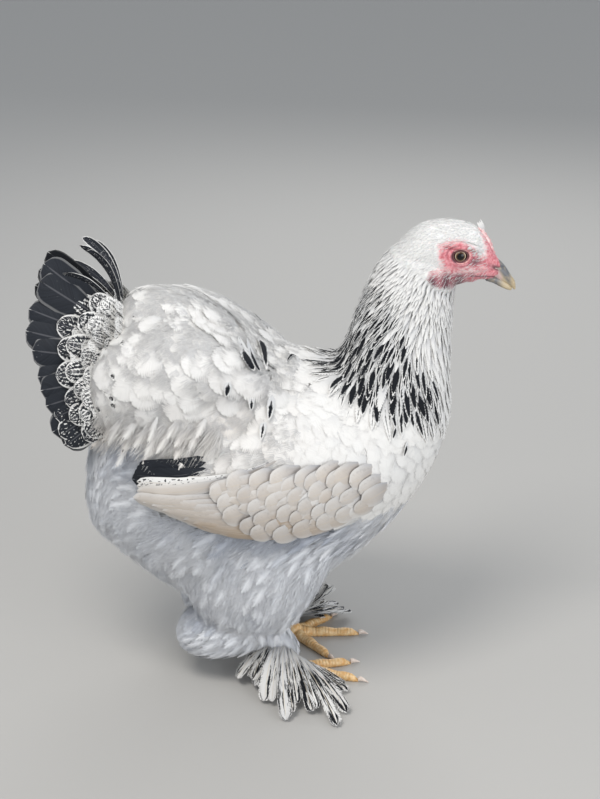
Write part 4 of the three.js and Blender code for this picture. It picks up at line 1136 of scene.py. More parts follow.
mat_white = feather_material("white_feather", tipped)
mat_down = feather_material("down_feather", downy_blue_shade, 0.9, 0.08)
mat_hackle = feather_material("hackle_feather", striped)
mat_tail = feather_material("tail_feather", laced, 0.55)
mat_flight = feather_material("flight_feather", flight, 0.7, 0.6)
mat_boot = feather_material("boot_feather", streaked, 0.75)


def draw(count, low=0.0, high=1.0):
    """Random numbers between low and high."""
    return mix(low, high, rng.random(count))


def region(p):
    """The name of the part of the coat: head, neck, shank, down, cushion or body."""
    x, z = p[..., 0], p[..., 2]
    neck = on_neck(p) > 0
    names = np.full(x.shape, "body", dtype="<U8")
    names[(x < 0) & (z > 236)] = "cushion"
    below = np.where((x < 62) & (x > WING[0, 0]), wing_edges(x)[0] + 2, 172 + 9 * cloud(p, 26, 4))
    names[((z < below) | ((x < -118) & (z < 252)) | ((x < -150) & (z < 264))) & ~neck] = "down"
    names[(z < 58) & (x < 10)] = "shank"
    names[neck] = "neck"
    names[on_head(p) > 0] = "head"
    return names


def worn(p):
    """Where the surface carries feathers, which is not on the bare face, by the bill, at the ankles or under
    the flights."""
    x, y, z = p[..., 0], np.abs(p[..., 1]), p[..., 2]
    bare = (face_mask(p) > 0.5) & (on_head(p) > -10)
    bill = (x > 172) & (z > 370)
    comb = (x > 158) & (y < 5) & (z > 400)
    low, high = wing_edges(x)
    lapped = np.minimum(high - 26, np.interp(x, [-90, -40, 80], [226, 218, 206]))
    flights = (z > low - 1) & (z < lapped) & (x > WING[0, 0]) & (x < 56) & (y > 60)
    return ~(bare | bill | comb | flights | (z < 12))


def body_marks(p):
    """A feather's marks from the tones at its root, without black."""
    count = len(p)
    _, warm, grey = tones(p)
    chance = draw(count)
    rng.random(2 * count)  # spent, so that the feathers after these keep their draws
    warm = np.clip(warm * draw(count, 0.3, 1.6), 0, 1)
    return marks_of(0.0, warm, chance, np.clip(grey * draw(count, 0.4, 1.5), 0, 1))


def layer(coat, where, forms, spacing, length, width, turn, low, high, camber=0.4, wave=0.15, rows=5,
          marks=None, keep=None, surface=outer, wears=worn):
    """Scatters one layer of feathers over the named regions and adds it to a coat. low and high are the
    ranges of the lifts of root and tip. Sizes are ranges, or functions of the roots."""
    def gap(p):
        return np.broadcast_to(spacing(p) if callable(spacing) else spacing, p.shape[:-1]) / math.sqrt(DENSE)

    def inside(p):
        chosen = np.isin(region(p), where) & wears(p)
        return chosen & keep(p) if keep else chosen

    p = surface.scatter(gap, inside)
    count = len(p)
    long = length(p) if callable(length) else draw(count, *length)
    wide = width(p) if callable(width) else draw(count, *width)
    grid, norms = lay(surface, p, long, wide, (rng.random(count) - 0.5) * turn, rows)
    m = marks(p) if marks else body_marks(p)
    tip = high(p) if callable(high) else draw(count, *high)
    kind = rng.integers(0, len(forms), count)
    for k, form in enumerate(forms):
        c = kind == k
        coat.add(grid[c], norms[c], form, m[c], p[c], draw(c.sum(), *low), tip[c], camber, wave)


under = Coat()
layer(under, ["body", "cushion"], ["under"], spacing=7.5, length=(22, 28), width=(15, 19), turn=0.4,
      low=(-5.2, -4.6), high=(-3.4, -2.8))
layer(under, ["down", "shank"], ["leaf"], spacing=5.0, length=(16, 21), width=(8, 11), turn=0.5,
      low=(-4.4, -4.0), high=(-3.0, -2.2))
under.build("coat_under", mat_white, "white_feathers")

body = Coat()
layer(body, ["body"], ["contour", "loose"], spacing=7.4, length=(28, 36), width=(18, 23), turn=0.25,
      low=(-2.1, -1.8), high=(-1.1, -0.7), camber=0.04, wave=0.05)
body.build("coat_body", mat_white, "white_feathers")


def peppered(p):
    """Marks with black dots, more of them near the tail."""
    near_tail = smooth(-p[:, 0], 95, 150)
    m = body_marks(p)
    dotted = draw(len(p)) < 0.05 + 0.5 * near_tail
    m[:, 0] = np.where(dotted, draw(len(p), 0.10, 0.26) * (1 + 0.7 * near_tail), 0)
    return m


def puffed(p):
    """Tip lifts of the cushion's feathers, in soft clumps."""
    return draw(len(p), -0.9, -0.1) + 1.1 * cloud(p, 36, 9)


saddle = Coat()
layer(saddle, ["cushion"], ["contour", "loose", "loose"], spacing=9.4, length=(34, 44), width=(23, 30),
      turn=0.34, low=(-3.4, -2.8), high=puffed, camber=0.12, wave=0.2, marks=peppered)
layer(saddle, ["cushion"], ["wisp"], spacing=5.2, length=(13, 21), width=(10, 14), turn=0.6,
      low=(-1.6, -1.0), high=puffed, camber=0.1, wave=0.2, marks=peppered)
saddle.build("coat_saddle", mat_white, "white_feathers")


def down_tip(p):
    """Tip lifts of the down, a few of them high."""
    return np.where(draw(len(p)) < 0.14, draw(len(p), 1.2, 4.2), draw(len(p), -0.8, 1.2))


for side, label in SIDES:
    down, fluff = Coat(), Coat()

    def this_side(p):
        return p[..., 1] * side > 0

    layer(down, ["down"], ["plume"], spacing=9.0, length=(28, 40), width=(14, 19), turn=0.5,
          low=(-2.8, -2.2), high=(-0.6, 2.4), camber=0.4, wave=0.5, keep=this_side)
    layer(fluff, ["down"], ["tuft", "wisp"], spacing=3.7, length=(18, 30), width=(9, 14), turn=0.6,
          low=(-1.9, -1.3), high=down_tip, camber=0.1, wave=0.3, keep=this_side)
    down.build(f"coat_down_{label}", mat_down, "fluff")
    fluff.build(f"coat_fluff_{label}", mat_down, "fluff")
shank = Coat()
layer(shank, ["shank"], ["plume"], spacing=7.0, length=(22, 31), width=(11, 15), turn=0.4, low=(-2.4, -1.8),
      high=(-0.2, 2.2), camber=0.5, wave=0.4)
layer(shank, ["shank"], ["tuft", "wisp"], spacing=4.0, length=(12, 20), width=(9, 13), turn=0.5,
      low=(-2.0, -1.4), high=(-0.3, 1.3), camber=0.2, wave=0.2)
shank.build("coat_shank", mat_down, "white_feathers")


def bristly(p):
    """Places on the bare skin that still carry a hair-like feather: many at its edge, few within."""
    edge = bare_edge(p)
    r = np.hypot(p[..., 0] - EYE[0], p[..., 2] - EYE[2])
    few = mix(1.0, 0.14, smooth(edge, -1, 6)) + 0.16 * smooth(-p[..., 2], -394, -384)
    return (edge > -2) & (r > 13) & (p[..., 0] < 167) & (rng.random(edge.shape) < few)


def toward_neck(near, far):
    """Sizes that change from the face to the back of the head."""
    def value(p):
        return mix(near, far, smooth(-on_head(p), -18, -1)) * draw(len(p), 0.8, 1.2)
    return value


face_coat = Coat()
layer(face_coat, ["head"], ["face"], spacing=1.8, length=toward_neck(6.5, 13), width=toward_neck(2.4, 3.4),
      turn=0.4, low=(-0.5, -0.2), high=(0.3, 1.1), camber=0.1, wave=0.05, surface=head_surface)
layer(face_coat, ["head"], ["bristle"], spacing=1.5, length=(3.5, 6.0), width=(0.5, 0.8), turn=0.6,
      low=(-0.3, -0.1), high=(0.2, 1.0), camber=0, wave=0, surface=head_surface, wears=bristly)
layer(face_coat, ["neck", "head"], ["face"], spacing=2.3, length=(9, 14), width=(2.6, 3.6), turn=0.35,
      low=(-1.6, -1.0), high=(0.5, 1.4), camber=0.1, wave=0.05, keep=lambda p: np.abs(on_head(p) + 6) < 15)

# A few feathers stand behind the comb.
CREST_ROOTS = np.array([[163, 0.8, 420], [162, -0.8, 421], [160.5, -1.8, 422.5], [161.5, 1.8, 421.5]])
CREST_TIPS = np.array([[159.4, 0.3, 432.5], [158.2, -0.6, 431], [156, -1.6, 430], [157, 1.4, 429.5]])
grid, norms = free_grid(CREST_ROOTS, mix(CREST_ROOTS, CREST_TIPS, 0.5) + (1.2, 0, 0.4), CREST_TIPS,
                        np.tile([0.9, 0.3, 0.3], (4, 1)), 3.2, 0.2, 5)
face_coat.add(grid, norms, "face", body_marks(CREST_ROOTS), CREST_ROOTS)
face_coat.build("coat_head", mat_white, "white_feathers")


def up_neck(low_value, high_value):
    """Sizes that change from the foot of the neck to the head."""
    return lambda p: mix(low_value, high_value, smooth(p[..., 2], 285, 385))


def by_height(low_value, high_value):
    """The same, varied from feather to feather."""
    size = up_neck(low_value, high_value)
    return lambda p: size(p) * (0.88 + 0.24 * rng.random(p.shape[:-1]))


def hackle_marks(share):
    """Marks of the cape, its black a share of the tones and a few stray stripes."""
    def value(p):
        m = body_marks(p)
        black = tones(p)[0] * share * draw(len(p), 0.7, 1.15)
        black = np.maximum(black, np.where(draw(len(p)) < 0.16, 0.32, 0) * smooth(-on_head(p), 12, 30))
        m[:, 0] = np.where(draw(len(p)) < 0.93, np.clip(black, 0, 1), 0)
        # Striped feathers are greyer: painted bluish shade between the cape's streaks.
        m[:, 3] = np.clip(m[:, 3] + 0.16 * draw(len(p)) * (black > 0.4), 0, 1)
        return m
    return value


def capped(p):
    """The neck and the back of the head, where the cape begins under the head's coat."""
    return on_head(p) < 11


hackle = Coat()
layer(hackle, ["neck", "head"], ["lance"], spacing=up_neck(5.0, 3.2), length=by_height(38, 15),
      width=by_height(8.5, 3.6), turn=0.2, low=(-3.8, -3.2), high=(-0.9, -0.3), camber=0.2, wave=0.1,
      rows=6, marks=hackle_marks(0.7), keep=capped)
layer(hackle, ["neck", "head"], ["hackle"], spacing=up_neck(7.6, 4.4), length=by_height(40, 17),
      width=by_height(11.5, 4.4), turn=0.26, low=(-3.2, -2.6), high=(0.5, 1.3), camber=0.3, wave=0.1,
      rows=7, marks=hackle_marks(1.0), keep=capped)
hackle.build("coat_hackle", mat_hackle, "white_feathers")

# Black marks that single saddle feathers carry: root and tip in the side view, width, black, grey.
# The left side carries every second one, moved by LEFT_SHIFT.
SADDLE_MARKS = [
    ([-54, 334], [-40, 316], 15, 0.95, 0), ([-38, 328], [-30, 313], 14, 0.9, 0),
    ([-47, 330], [-35, 314], 9, 0.8, 0.2), ([-61, 313], [-64.5, 299], 10, 0.7, 0.12),
    ([-42, 297], [-43, 284], 8, 0.6, 0.1), ([-24, 296], [-28, 274], 11, 0.6, 0.12),
    ([-31, 276], [-34, 261], 9, 0.45, 0.12), ([0, 309], [-13, 307], 5, 0.8, 0.2),
    ([96, 247], [91, 234], 5, 0.8, 0), ([86, 263], [81, 251], 4.5, 0.9, 0),
]
LEFT_SHIFT = np.array([(9, -16), (5, -15)])


def cast(x, z, side):
    """The surface's outermost place at x and z in the side view, or the nearest one below."""
    hit = None
    while hit is None:
        hit = outer.tree.ray_cast(Vector((x, side * 400, z)), Vector((0, -side, 0)))[0]
        z -= 2
    return np.array(hit)


marked = Coat()
for side, shift, step in ((RIGHT, 0, 1), (LEFT, LEFT_SHIFT, 2)):
    for root, tip, wide, black, grey in SADDLE_MARKS[::step]:
        root, tip = np.array([root, tip], float) + shift
        line = np.array([cast(*mix(root, tip, t), side) for t in (0, 0.5, 1)])
        place, normal = outer.nearest(line)
        begin, bend, end = (place + normal * np.array([[-1.5], [1.3], [1.6]]))[:, None]
        bend = 2 * bend - (begin + end) / 2
        across = np.cross(normal[1], unit(end - begin)[0])[None] * side
        grid, norms = free_grid(begin, bend, end, across, wide, 0.4, 6, side)
        marked.add(grid, norms, "hackle", marks_of(black, 0.0, draw(1), grey), begin, camber=0.4, wave=0.1)
marked.build("coat_marks", mat_hackle, "white_feathers")

# The fringe of the cushion that hangs over the wing's edge

FRINGE_ROWS = ((258, 18), (267, 22), (278, 26))  # height and drop
FRINGE_FORMS = ("wisp", "tuft", "plume", "wisp")
FRINGE_BACK, FRINGE_FRONT, FRINGE_GAP = -176, -64, 3.4
fringe = Coat()
for side in (RIGHT, LEFT):
    for row, (height, drop) in enumerate(FRINGE_ROWS):
        x = np.arange(FRINGE_BACK, FRINGE_FRONT, FRINGE_GAP)
        count = len(x)
        x = x + draw(count, -6, 6)
        root_z = height + 0.05 * (x + 120) - 6 * smooth(x, -92, -76) + draw(count, -7, 7)
        tip_z = root_z - drop * draw(count, 0.55, 1.25)
        root = np.array([cast(*place, side) for place in zip(x, root_z)]) - (0, 3.5 * side, 0)
        out = np.maximum(flank(x, tip_z) + 7 - 3 * (x < -150), np.abs(root[:, 1]) * 0.86) + row * 0.5
        tip = np.stack([x - draw(count, 8, 18), out * side, tip_z], 1)
        bend = mix(root, tip, 0.45) + np.array([0, 0.8 * side, 0.4])
        across = np.stack([draw(count, 0.6, 0.9), draw(count, -0.15, 0.15), draw(count, -0.7, -0.3)], 1)
        grid, norms = free_grid(root, bend, tip, across, draw(count, 9, 13), 0.5, 6, side)
        m = peppered(root) * (1, 1, 1, 0.3)
        for k, form in enumerate(FRINGE_FORMS):
            c = np.arange(k, count, len(FRINGE_FORMS))
            fringe.add(grid[c], norms[c], form, m[c], root[c], camber=0.15, wave=0.3)
fringe.build("coat_fringe", mat_white, "white_feathers")

# Wings

def side_grid(side, start, end, width, sag, low, high, rows=7, tilt=1.3):
    """Rows of places for wing feathers with roots and tips given in the side view. tilt raises the lower edge
    of each over the next."""
    start, end = np.asarray(start, float), np.asarray(end, float)
    d = unit(end - start)
    across = np.stack([-d[:, 1], d[:, 0]], 1)
    grid = np.empty((len(start), rows, 3, 3))
    for r in range(rows):
        t = r / (rows - 1)
        for e in (-1, 0, 1):
            q = mix(start, end, t) + across * (width / 2 * e)[:, None]
            q[:, 1] -= sag * 4 * t * (1 - t)
            lift = mix(low, high, min(1.0, t * 1.5)) - e * tilt
            face = wing_face(q[:, 0], q[:, 1])
            if q[:, 0].max() > 0:
                bed = np.array([abs(cast(*place, side)[1]) for place in q])
                face = mix(face, np.minimum(face, bed - 1), smooth(q[:, 0], -5, 40))
            grid[:, r, e + 1] = np.stack([q[:, 0], (face + lift) * side, q[:, 1]], 1)
    if side == RIGHT:
        grid = grid[:, :, ::-1]
    norms = np.zeros_like(grid)
    norms[..., 1] = side
    norms[..., 0] = -0.1
    return grid, unit(norms)


def row_of(first, last, count, jitter=1.5):
    """Roots and tips of a row between its first and last feather."""
    t = np.linspace(0, 1, count)[:, None]
    start, end = [mix(np.array(a, float), np.array(b, float), t) for a, b in zip(first, last)]
    return start + draw((count, 2), -jitter, jitter), end + draw((count, 2), -jitter, jitter)


# Count, first root and tip, last root and tip, width, sag, lowest and highest lift, form, warm
WING_ROWS = [
    (9, ([52, 184], [-80, 183]), ([-14, 234], [-150, 208]), 17, 9, 1.0, 3.0, "vane", 0.85),
    (9, ([62, 188], [-12, 177]), ([6, 240], [-80, 224]), 20, 4, 2.0, 3.4, "broad", 0.7),
    (8, ([76, 197], [14, 180]), ([34, 240], [-38, 218]), 19, 3, 2.4, 3.4, "broad", 0.55),
    (7, ([88, 208], [40, 187]), ([54, 238], [-4, 204]), 20, 2, 2.4, 3.2, "scallop", 0.25),
]
# Short rounded coverts over the front of the wing: count, first root, last root
SCALLOP_ROWS = [
    (5, [-14, 184], [-50, 226]), (6, [8, 181], [-34, 232]), (6, [28, 186], [-14, 236]),
    (6, [46, 190], [6, 238]), (6, [62, 196], [26, 238]), (5, [76, 202], [44, 238]), (4, [88, 210], [62, 236]),
]
SCALLOP_SIZE, SCALLOP_WIDTH, SCALLOP_SUNK, SCALLOP_LIFT = (31, 8), 23, -3.2, 3.8
# The uppermost feather of the wing, with a black edge, over two more: root, tip, width
TOP_FEATHER = ([-20, 246], [-146, 221], 13.0)
PRIMARIES = (4, ([-84, 247], [-142, 234]), ([-76, 235], [-150, 221]))


def wing_feathers(coat, side, start, end, width, sag, low, high, form, marks, mirror=True, **shape):
    """Adds wing feathers with roots and tips given in the side view."""
    grid, norms = side_grid(side, start, end, width, sag, low, high)
    coat.add(grid, norms, form, marks, grid[:, 0, 1], mirror=mirror and side == LEFT, **shape)


for side, label in SIDES:
    coat, dark = Coat(), Coat()
    count, first, last = PRIMARIES
    start, end = row_of(first, last, count, 0.8)
    wing_feathers(dark, side, start, end, draw(count, 14, 17), 2, -3.0, draw(count, -1.4, -0.4), "vane",
                  marks_of(1.0, 0.0, draw(count), 0.0), mirror=False, camber=0.6)
    for count, first, last, wide, sag, low, high, form, warm in WING_ROWS:
        start, end = row_of(first, last, count)
        at_top = smooth(np.arange(count), count - 3.5, count - 1.5)
        sunk = -2.8 - 4.0 * np.maximum(at_top, float(warm < 0.5))
        wide = wide * draw(count, 0.92, 1.08)
        spot = mix(start, end, 0.7)
        middle = 0.45 + 0.9 * bell((spot[:, 0] + 15) / 60) * smooth(-spot[:, 1], -212, -184)
        shade = np.clip(warm * middle * draw(count, 0.7, 1.1), 0, 1)
        marks = marks_of(draw(count, 0, 0.1), shade, draw(count), draw(count, 0.08, 0.26))
        wing_feathers(coat, side, start, end, wide, sag, sunk, np.linspace(low, high, count), form, marks,
                      camber=1.3, wave=0.15)
    for count, first, last in SCALLOP_ROWS:
        start, _ = row_of((first, first), (last, last), count, 2.5)
        end = start - SCALLOP_SIZE * draw((count, 1), 0.9, 1.1)
        wide, lift = SCALLOP_WIDTH * draw(count, 0.88, 1.1), SCALLOP_LIFT + draw(count, -0.4, 0.4)
        marks = marks_of(draw(count, 0, 0.1), draw(count, 0.22, 0.42), draw(count), draw(count, 0.10, 0.22))
        wing_feathers(coat, side, start, end, wide, 1, SCALLOP_SUNK, lift, "scallop", marks,
                      camber=1.1, wave=0.2)
    start, end, wide = TOP_FEATHER
    for shift, black in ((0, 1.0), (-4, 0.6), (-8, 0.0)):
        wing_feathers(coat, side, [start], [np.array(end) + (0, shift)], np.array([wide]), 5, -1.0,
                      2.6 - 0.04 * shift, "vane", np.array([[black, 0.3, 0.3, 0.05]]), camber=0.6)
    dark.build(f"coat_primaries_{label}", mat_tail, "black_feathers")
    coat.build(f"coat_wing_{label}", mat_flight, "white_feathers", [f"wing_{label}"])

# Tail

# Where the fan's feathers spread from
HUB = np.array([-122.0, 0, 303.0])
# Count, reach, width, angles of the top and the bottom, distance out, share of the reach at the root, form,
# black, lacing, white specks, share of the reach at the top
FAN = [
    (10, 119, 30, 43, -34, 0, 0.42, "vane", 1.0, 0.20, 0.0, 1.2),
    (8, 112, 27, 26, -38, 4, 0.5, "broad", 1.0, 0.9, 0.35, 1.0),
    (7, 99, 26, 38, -40, 8, 0.5, "broad", 1.0, 1.0, 0.55, 1.06),
    (7, 87, 25, 46, -38, 11, 0.5, "broad", 1.0, 1.0, 0.70, 1.08),
    (6, 76, 26, 50, -32, 14, 0.5, "contour", 0.9, 1.0, 0.85, 1.12),
]
# Curled feathers at the tail's top: tip and bend
CURLS = [
    ([-196, 12, 413], [-163, 10, 398]), ([-188, 14, 409], [-161, 12, 396]),
    ([-211, 17, 388], [-180, 13, 384]),
]
CURL_ROOT = (-160.0, 9.0, 345.0)
TAIL_CORE = [
    [-136, 0, 300, 40, 44, 60], [-160, 0, 300, 44, 44, 52], [-180, 0, 302, 38, 36, 40],
    [-196, 0, 304, 28, 26, 28], [-206, 0, 305, 14, 12, 14],
]
tail = Coat()
for side in (RIGHT, LEFT):
    for count, reach, width, top, bottom, out, start, form, black, lace, speck, crest in FAN:
        q = np.linspace(0, 1, count)
        a = np.radians(mix(top, bottom, q) + draw(count, -2.5, 2.5))
        wide = 7 + out + 46 * np.sin(q * math.pi / 2)
        far = reach * mix(crest, 0.94, np.minimum(1, q * 1.6)) * draw(count, 0.96, 1.03)
        away = np.stack([-np.cos(a), 0 * a, np.sin(a)], 1)
        tip = HUB + away * far[:, None]
        tip[:, 1] = side * wide
        root = HUB + away * (far * start)[:, None]
        root[:, 1] = side * (wide * 0.55 + 4)
        bend = mix(root, tip, 0.5)
        bend[:, 1] = side * (wide + 5)
        bend[:, 2] += 3
        lean = np.radians(mix(62, 84, q))
        across = np.stack([np.sin(a) * np.sin(lean), -side * np.cos(lean), np.cos(a) * np.sin(lean)], 1)
        grid, norms = free_grid(root, bend, tip, across, width * draw(count, 0.9, 1.06), 1.4, 9, side)
        laced_by = lace * draw(count, 0.75, 1.0)
        chance = draw(count)
        marks = marks_of(black, laced_by, chance, np.clip(speck * draw(count, 0.85, 1.1), 0, 1))
        tail.add(grid, norms, form, marks, root, camber=1.6, wave=0.25)
    tip, bend = np.array(CURLS).swapaxes(0, 1) * (1, side, 1)
    root, across = [np.tile(v, (len(CURLS), 1)) * (1, side, 1) for v in (CURL_ROOT, (0.5, 0.4, 0.4))]
    grid, norms = free_grid(root, bend, tip, across, 8.0, 0.5, 13, side)
    tail.add(grid, norms, "vane", marks_of(1.0, 1.0, draw(len(CURLS)), 0.25), root, camber=0.6, wave=0.8)

# Black feathers stand out from a core behind the fan.
core = Surface(*fused([loft(TAIL_CORE, 24, 32)], voxel=2.0, relax=2))
p = core.scatter(lambda q: np.full(q.shape[:-1], 6.0 / math.sqrt(DENSE)), lambda q: q[..., 0] < -148)
place, normal = core.nearest(p)
away = unit(place - HUB)
count = len(p)
tip = place + away * draw(count, 20, 27)[:, None] + normal
grid, norms = free_grid(place - normal * 3, place + away * 10 + normal * 2, tip, np.cross(normal, away),
                        draw(count, 14, 18), 0.5, 5)
marks = marks_of(1.0, 1.0, draw(count), draw(count, 0.7, 1.1))
tail.add(grid, norms, "contour", marks, p, camber=0.8, wave=0.3)
make_object("tail_core", core.v - core.normals * 2, core.quads, mat_skin,
            marks=np.tile([0.9, 0, 0, 0], (len(core.v), 1)))
tail.build("coat_tail", mat_tail, "black_feathers", ["tail"])

# Foot feathers: root and tip with their heights above the floor, width, black

BOOT = {
    RIGHT: [
        ([-26, 40, 34], [-62, 60, 5], 19, 0.35), ([-24, 42, 34], [-45, 72, 3], 15, 0.45),
        ([-20, 43, 32], [-33, 98, 1], 15, 0.35), ([-15, 43, 30], [-12, 130, 0], 16, 0.5),
        ([-10, 42, 26], [12, 118, 2], 14, 0.7), ([-6, 40, 20], [37, 140, 0], 15, 0.85),
        ([-4, 38, 16], [46, 118, 2], 14, 0.8), ([-2, 36, 10], [48, 78, 3], 12, 0.5),
    ],
    LEFT: [
        ([-26, 40, 34], [-58, 62, 5], 19, 0.1), ([-24, 42, 34], [-46, 80, 3], 16, 0.2),
        ([-20, 43, 32], [-34, 102, 1], 16, 0.3), ([-15, 43, 30], [-14, 120, 2], 16, 0.4),
        ([-11, 42, 27], [4, 130, 3], 16, 0.5), ([-8, 41, 24], [21, 139.2, 0], 16, 0.6),
        ([-4, 38, 16], [40, 92, 5], 17, 0.7), ([-2, 36, 12], [54, 76, 4], 16, 0.6),
        ([0, 42, 28], [13, 54, 60], 14, 0.5), ([2, 42, 26], [24, 58, 52], 14, 0.45),
        ([4, 40, 22], [35, 64, 40], 14, 0.5),
    ],
}
# Copies, share of the reach, share of the width, lift. Copies after the first lie between two feathers.
BOOT_LAYERS = ((1, (0.97, 0.985), 0.85, 2.0), (5, (0.5, 0.93), 0.52, 3.5))
for side, label in SIDES:
    boot = Coat()
    roots, tips, widths, blacks = [np.array(column, float) for column in zip(*BOOT[side])]
    for filling, (copies, reach, slim, raised) in enumerate(BOOT_LAYERS):
        pick = np.repeat(np.arange(len(roots)), copies)
        count = len(pick)
        root, tip = roots[pick], tips[pick]
        if filling:
            t = draw(count)[:, None]
            other = np.minimum(pick + 1, len(roots) - 1)
            root, tip = mix(root, roots[other], t), mix(tip, tips[other], t)
        tip = mix(root, tip, draw(count, *reach)[:, None] * [1, 1, 0] + [0, 0, 1])
        tip[:, 2] += FLOOR + raised + draw(count, 0, 4) * filling
        root, tip = root * (1, side, 1), tip * (1, side, 1)
        bend = mix(root, tip, 0.5)
        bend[:, 2] = mix(tip[:, 2], root[:, 2], 0.8)
        run_x, run_y, _ = unit((tip - root) * (1, 1, 0)).T
        bend += np.stack([-run_y, run_x, 0 * run_x], 1) * draw(count, -7, 7)[:, None]
        across = np.stack([-run_y, run_x, draw(count, -0.35, 0.35)], 1)
        grid, norms = free_grid(root, bend, tip, across, widths[pick] * slim * draw(count, 0.9, 1.1), 0.8)
        up = np.sign(norms[..., 2].mean((1, 2)))[:, None, None, None]
        grid = np.where(up < 0, grid[:, :, ::-1], grid)
        black = np.clip(blacks[pick] * draw(count, 0.6, 1.05) + 0.25 * filling * draw(count), 0, 1)
        marks = marks_of(black, draw(count, 0.0, 0.12), draw(count), draw(count, 0.0, 0.5) ** 1.5)
        boot.add(grid, norms * up, "boot", marks, root, camber=0.9, wave=0.7)
    boot.build(f"coat_boot_{label}", mat_boot, "white_feathers", [f"shank_{label}"])

# Eyes and lids

mat_eye = eye_material()
for side, label in SIDES:
    v, faces = ball((0, 0, 0), 1.0, around=48, high=32)
    v = v[:, [0, 2, 1]] * (1, side, 1)
    if side == LEFT:
        faces = [face[::-1] for face in faces]
    ring = np.arccos(np.clip(v[:, 1] * side, -1, 1)) / (math.pi / 2)
    bulge = 1 + 0.05 * bell(ring / 0.45)
    v = v * bulge[:, None] * (EYE_RADIUS - 0.5) + EYE * (1, side, 1)
    uv = np.stack([np.clip(ring, 0, 1), ring * 0 + 0.5], 1)
    make_object(f"eyeball_{label}", v, faces, mat_eye, [f"eye_{label}"], uv=uv)

# Lids, a dark rim against the eye and a pink fold round it: name, size by the eye's radius, thickness,
# distance from the middle of the head, material
LIDS = [
    ("rim", 0.755, 0.7, 19.7, plain_material("lid_rim", (0.13, 0.04, 0.045, 1), 0.4, (900.0, 0.4, 0.0003))),
    ("fold", 0.97, 0.85, 19.4, plain_material("lid", (0.60, 0.22, 0.22, 1), 0.45, (900.0, 0.4, 0.0004),
                                              other=(0.76, 0.42, 0.40, 1), scale=300.0)),
]
LID_WIDE, LID_TALL = 1.18, 0.92
AROUND, ACROSS = 64, 10
a, b = [np.linspace(0, 2 * math.pi, count, endpoint=False) for count in (AROUND, ACROSS)]
for side, label in SIDES:
    for name, scale, thick, out, mat in LIDS:
        size = EYE_RADIUS * scale
        ring = np.stack([EYE[0] + size * LID_WIDE * np.cos(a), side * (out - 0.9 * np.abs(np.cos(a)) ** 3),
                         EYE[2] + size * LID_TALL * np.sin(a)], 1)
        tangent = unit(np.roll(ring, -1, 0) - np.roll(ring, 1, 0))
        outward = np.array([0, side, 0.0])
        level = np.cross(tangent, outward)
        round_it = np.cos(b)[None, :, None] * outward + np.sin(b)[None, :, None] * level[:, None]
        v = ring[:, None] + round_it * thick
        faces = []
        for i in range(AROUND):
            here, there = i * ACROSS, (i + 1) % AROUND * ACROSS
            for j in range(ACROSS):
                k = (j + 1) % ACROSS
                faces.append((here + j, there + j, there + k, here + k))
        make_object(f"lid_{name}_{label}", v.reshape(-1, 3), faces, mat)

# Comb and bill

COMB_LINE = np.array([[158, 0, 425], [166.8, 0, 415.1], [172.8, 0, 399.6]], float)
# Rows of small knobs: place across, count, size, lift
KNOBS = ((-3.0, 7, 1.4, 0.1), (0.0, 8, 1.7, 0.7), (3.0, 7, 1.4, 0.1))
BRIDGE = (0.7, 0, 0.7)
BILL_NOSTRIL, NOSTRIL_TURN = (181, 4.8, 388.7), 0.5


def comb_at(t):
    """The comb's middle line, from its back to its front."""
    return arc(*COMB_LINE, np.array([t]))


ridge = []
for t in np.linspace(0, 1, 9):
    full = np.sin(math.pi * mix(0.1, 0.9, t))
    ridge.append([*comb_at(t), 4.8 * full, 2.2 * full, 4])
shapes = [loft(ridge, 30, 24, up=(0.6, 0, 0.8))]
for across, count, size, raised in KNOBS:
    for i in range(count):
        t = (i + 0.5) / count
        place = comb_at(t)
        tangent = unit(comb_at(t + 0.01) - place)
        outward = np.array([-tangent[2], 0, tangent[0]])
        radius = size * (0.7 + 0.4 * math.sin(math.pi * t)) * (0.85 + 0.3 * rng.random())
        shapes.append(ball(place + outward * raised + (0, across, 0), radius, (1, 0.85, 1.1), 12, 8))
comb_v, comb_q = fused(shapes, voxel=0.4, relax=5)
mat_comb = plain_material("comb_skin", (0.72, 0.37, 0.37, 1), 0.5, (800.0, 0.5, 0.0004), 0.4,
                          (0.88, 0.68, 0.65, 1), 300.0)
make_object("pea_comb", comb_v, comb_q, mat_comb, ["comb"])

mat_bill = bill_material()
v, quads = fused([loft(UPPER_BILL, 40, 40, up=BRIDGE)], voxel=0.35, relax=1)
c, s = math.cos(NOSTRIL_TURN), math.sin(NOSTRIL_TURN)
for side in (RIGHT, LEFT):
    dx, dy, dz = (v - np.array(BILL_NOSTRIL) * (1, side, 1)).T
    v[:, 1] -= side * bell((dx * c + dz * s) / 2.6, (dz * c + dx * s) / 0.9, dy / 2.5) * 1.6
over = (v[:, 2] - 383.9) * 0.58 + (v[:, 0] - 179.9) * 0.81
slate = smooth(over, -2.5, 1.5) * smooth(-v[:, 0], -191, -185)
blush = smooth(-v[:, 0], -183, -177) * (1 - slate)
make_object("bill_upper", v, quads, mat_bill, ["beak_upper"], marks=marks_of(slate, blush, 0.0, 1.0))
raised = np.array(LOWER_BILL) + (0, 0, 0.4, 0.2, 0.8, 0)
v, quads = fused([loft(raised, 36, 36, up=BRIDGE)], voxel=0.35, relax=1)
# The lower bill darkens toward its base: painted shade under the upper bill and the face.
slate = smooth(-v[:, 0], -184, -174)
make_object("bill_lower", v, quads, mat_bill, ["beak_lower"], marks=marks_of(slate, 0.0, 0.0, 0.0))

# Feet

# The way each toe points, in degrees from straight ahead
FEET = {
    RIGHT: {"middle": 17, "inner": -14, "outer": 52, "hind": 196},
    LEFT: {"middle": 2, "inner": -52, "outer": 44, "hind": 172},
}
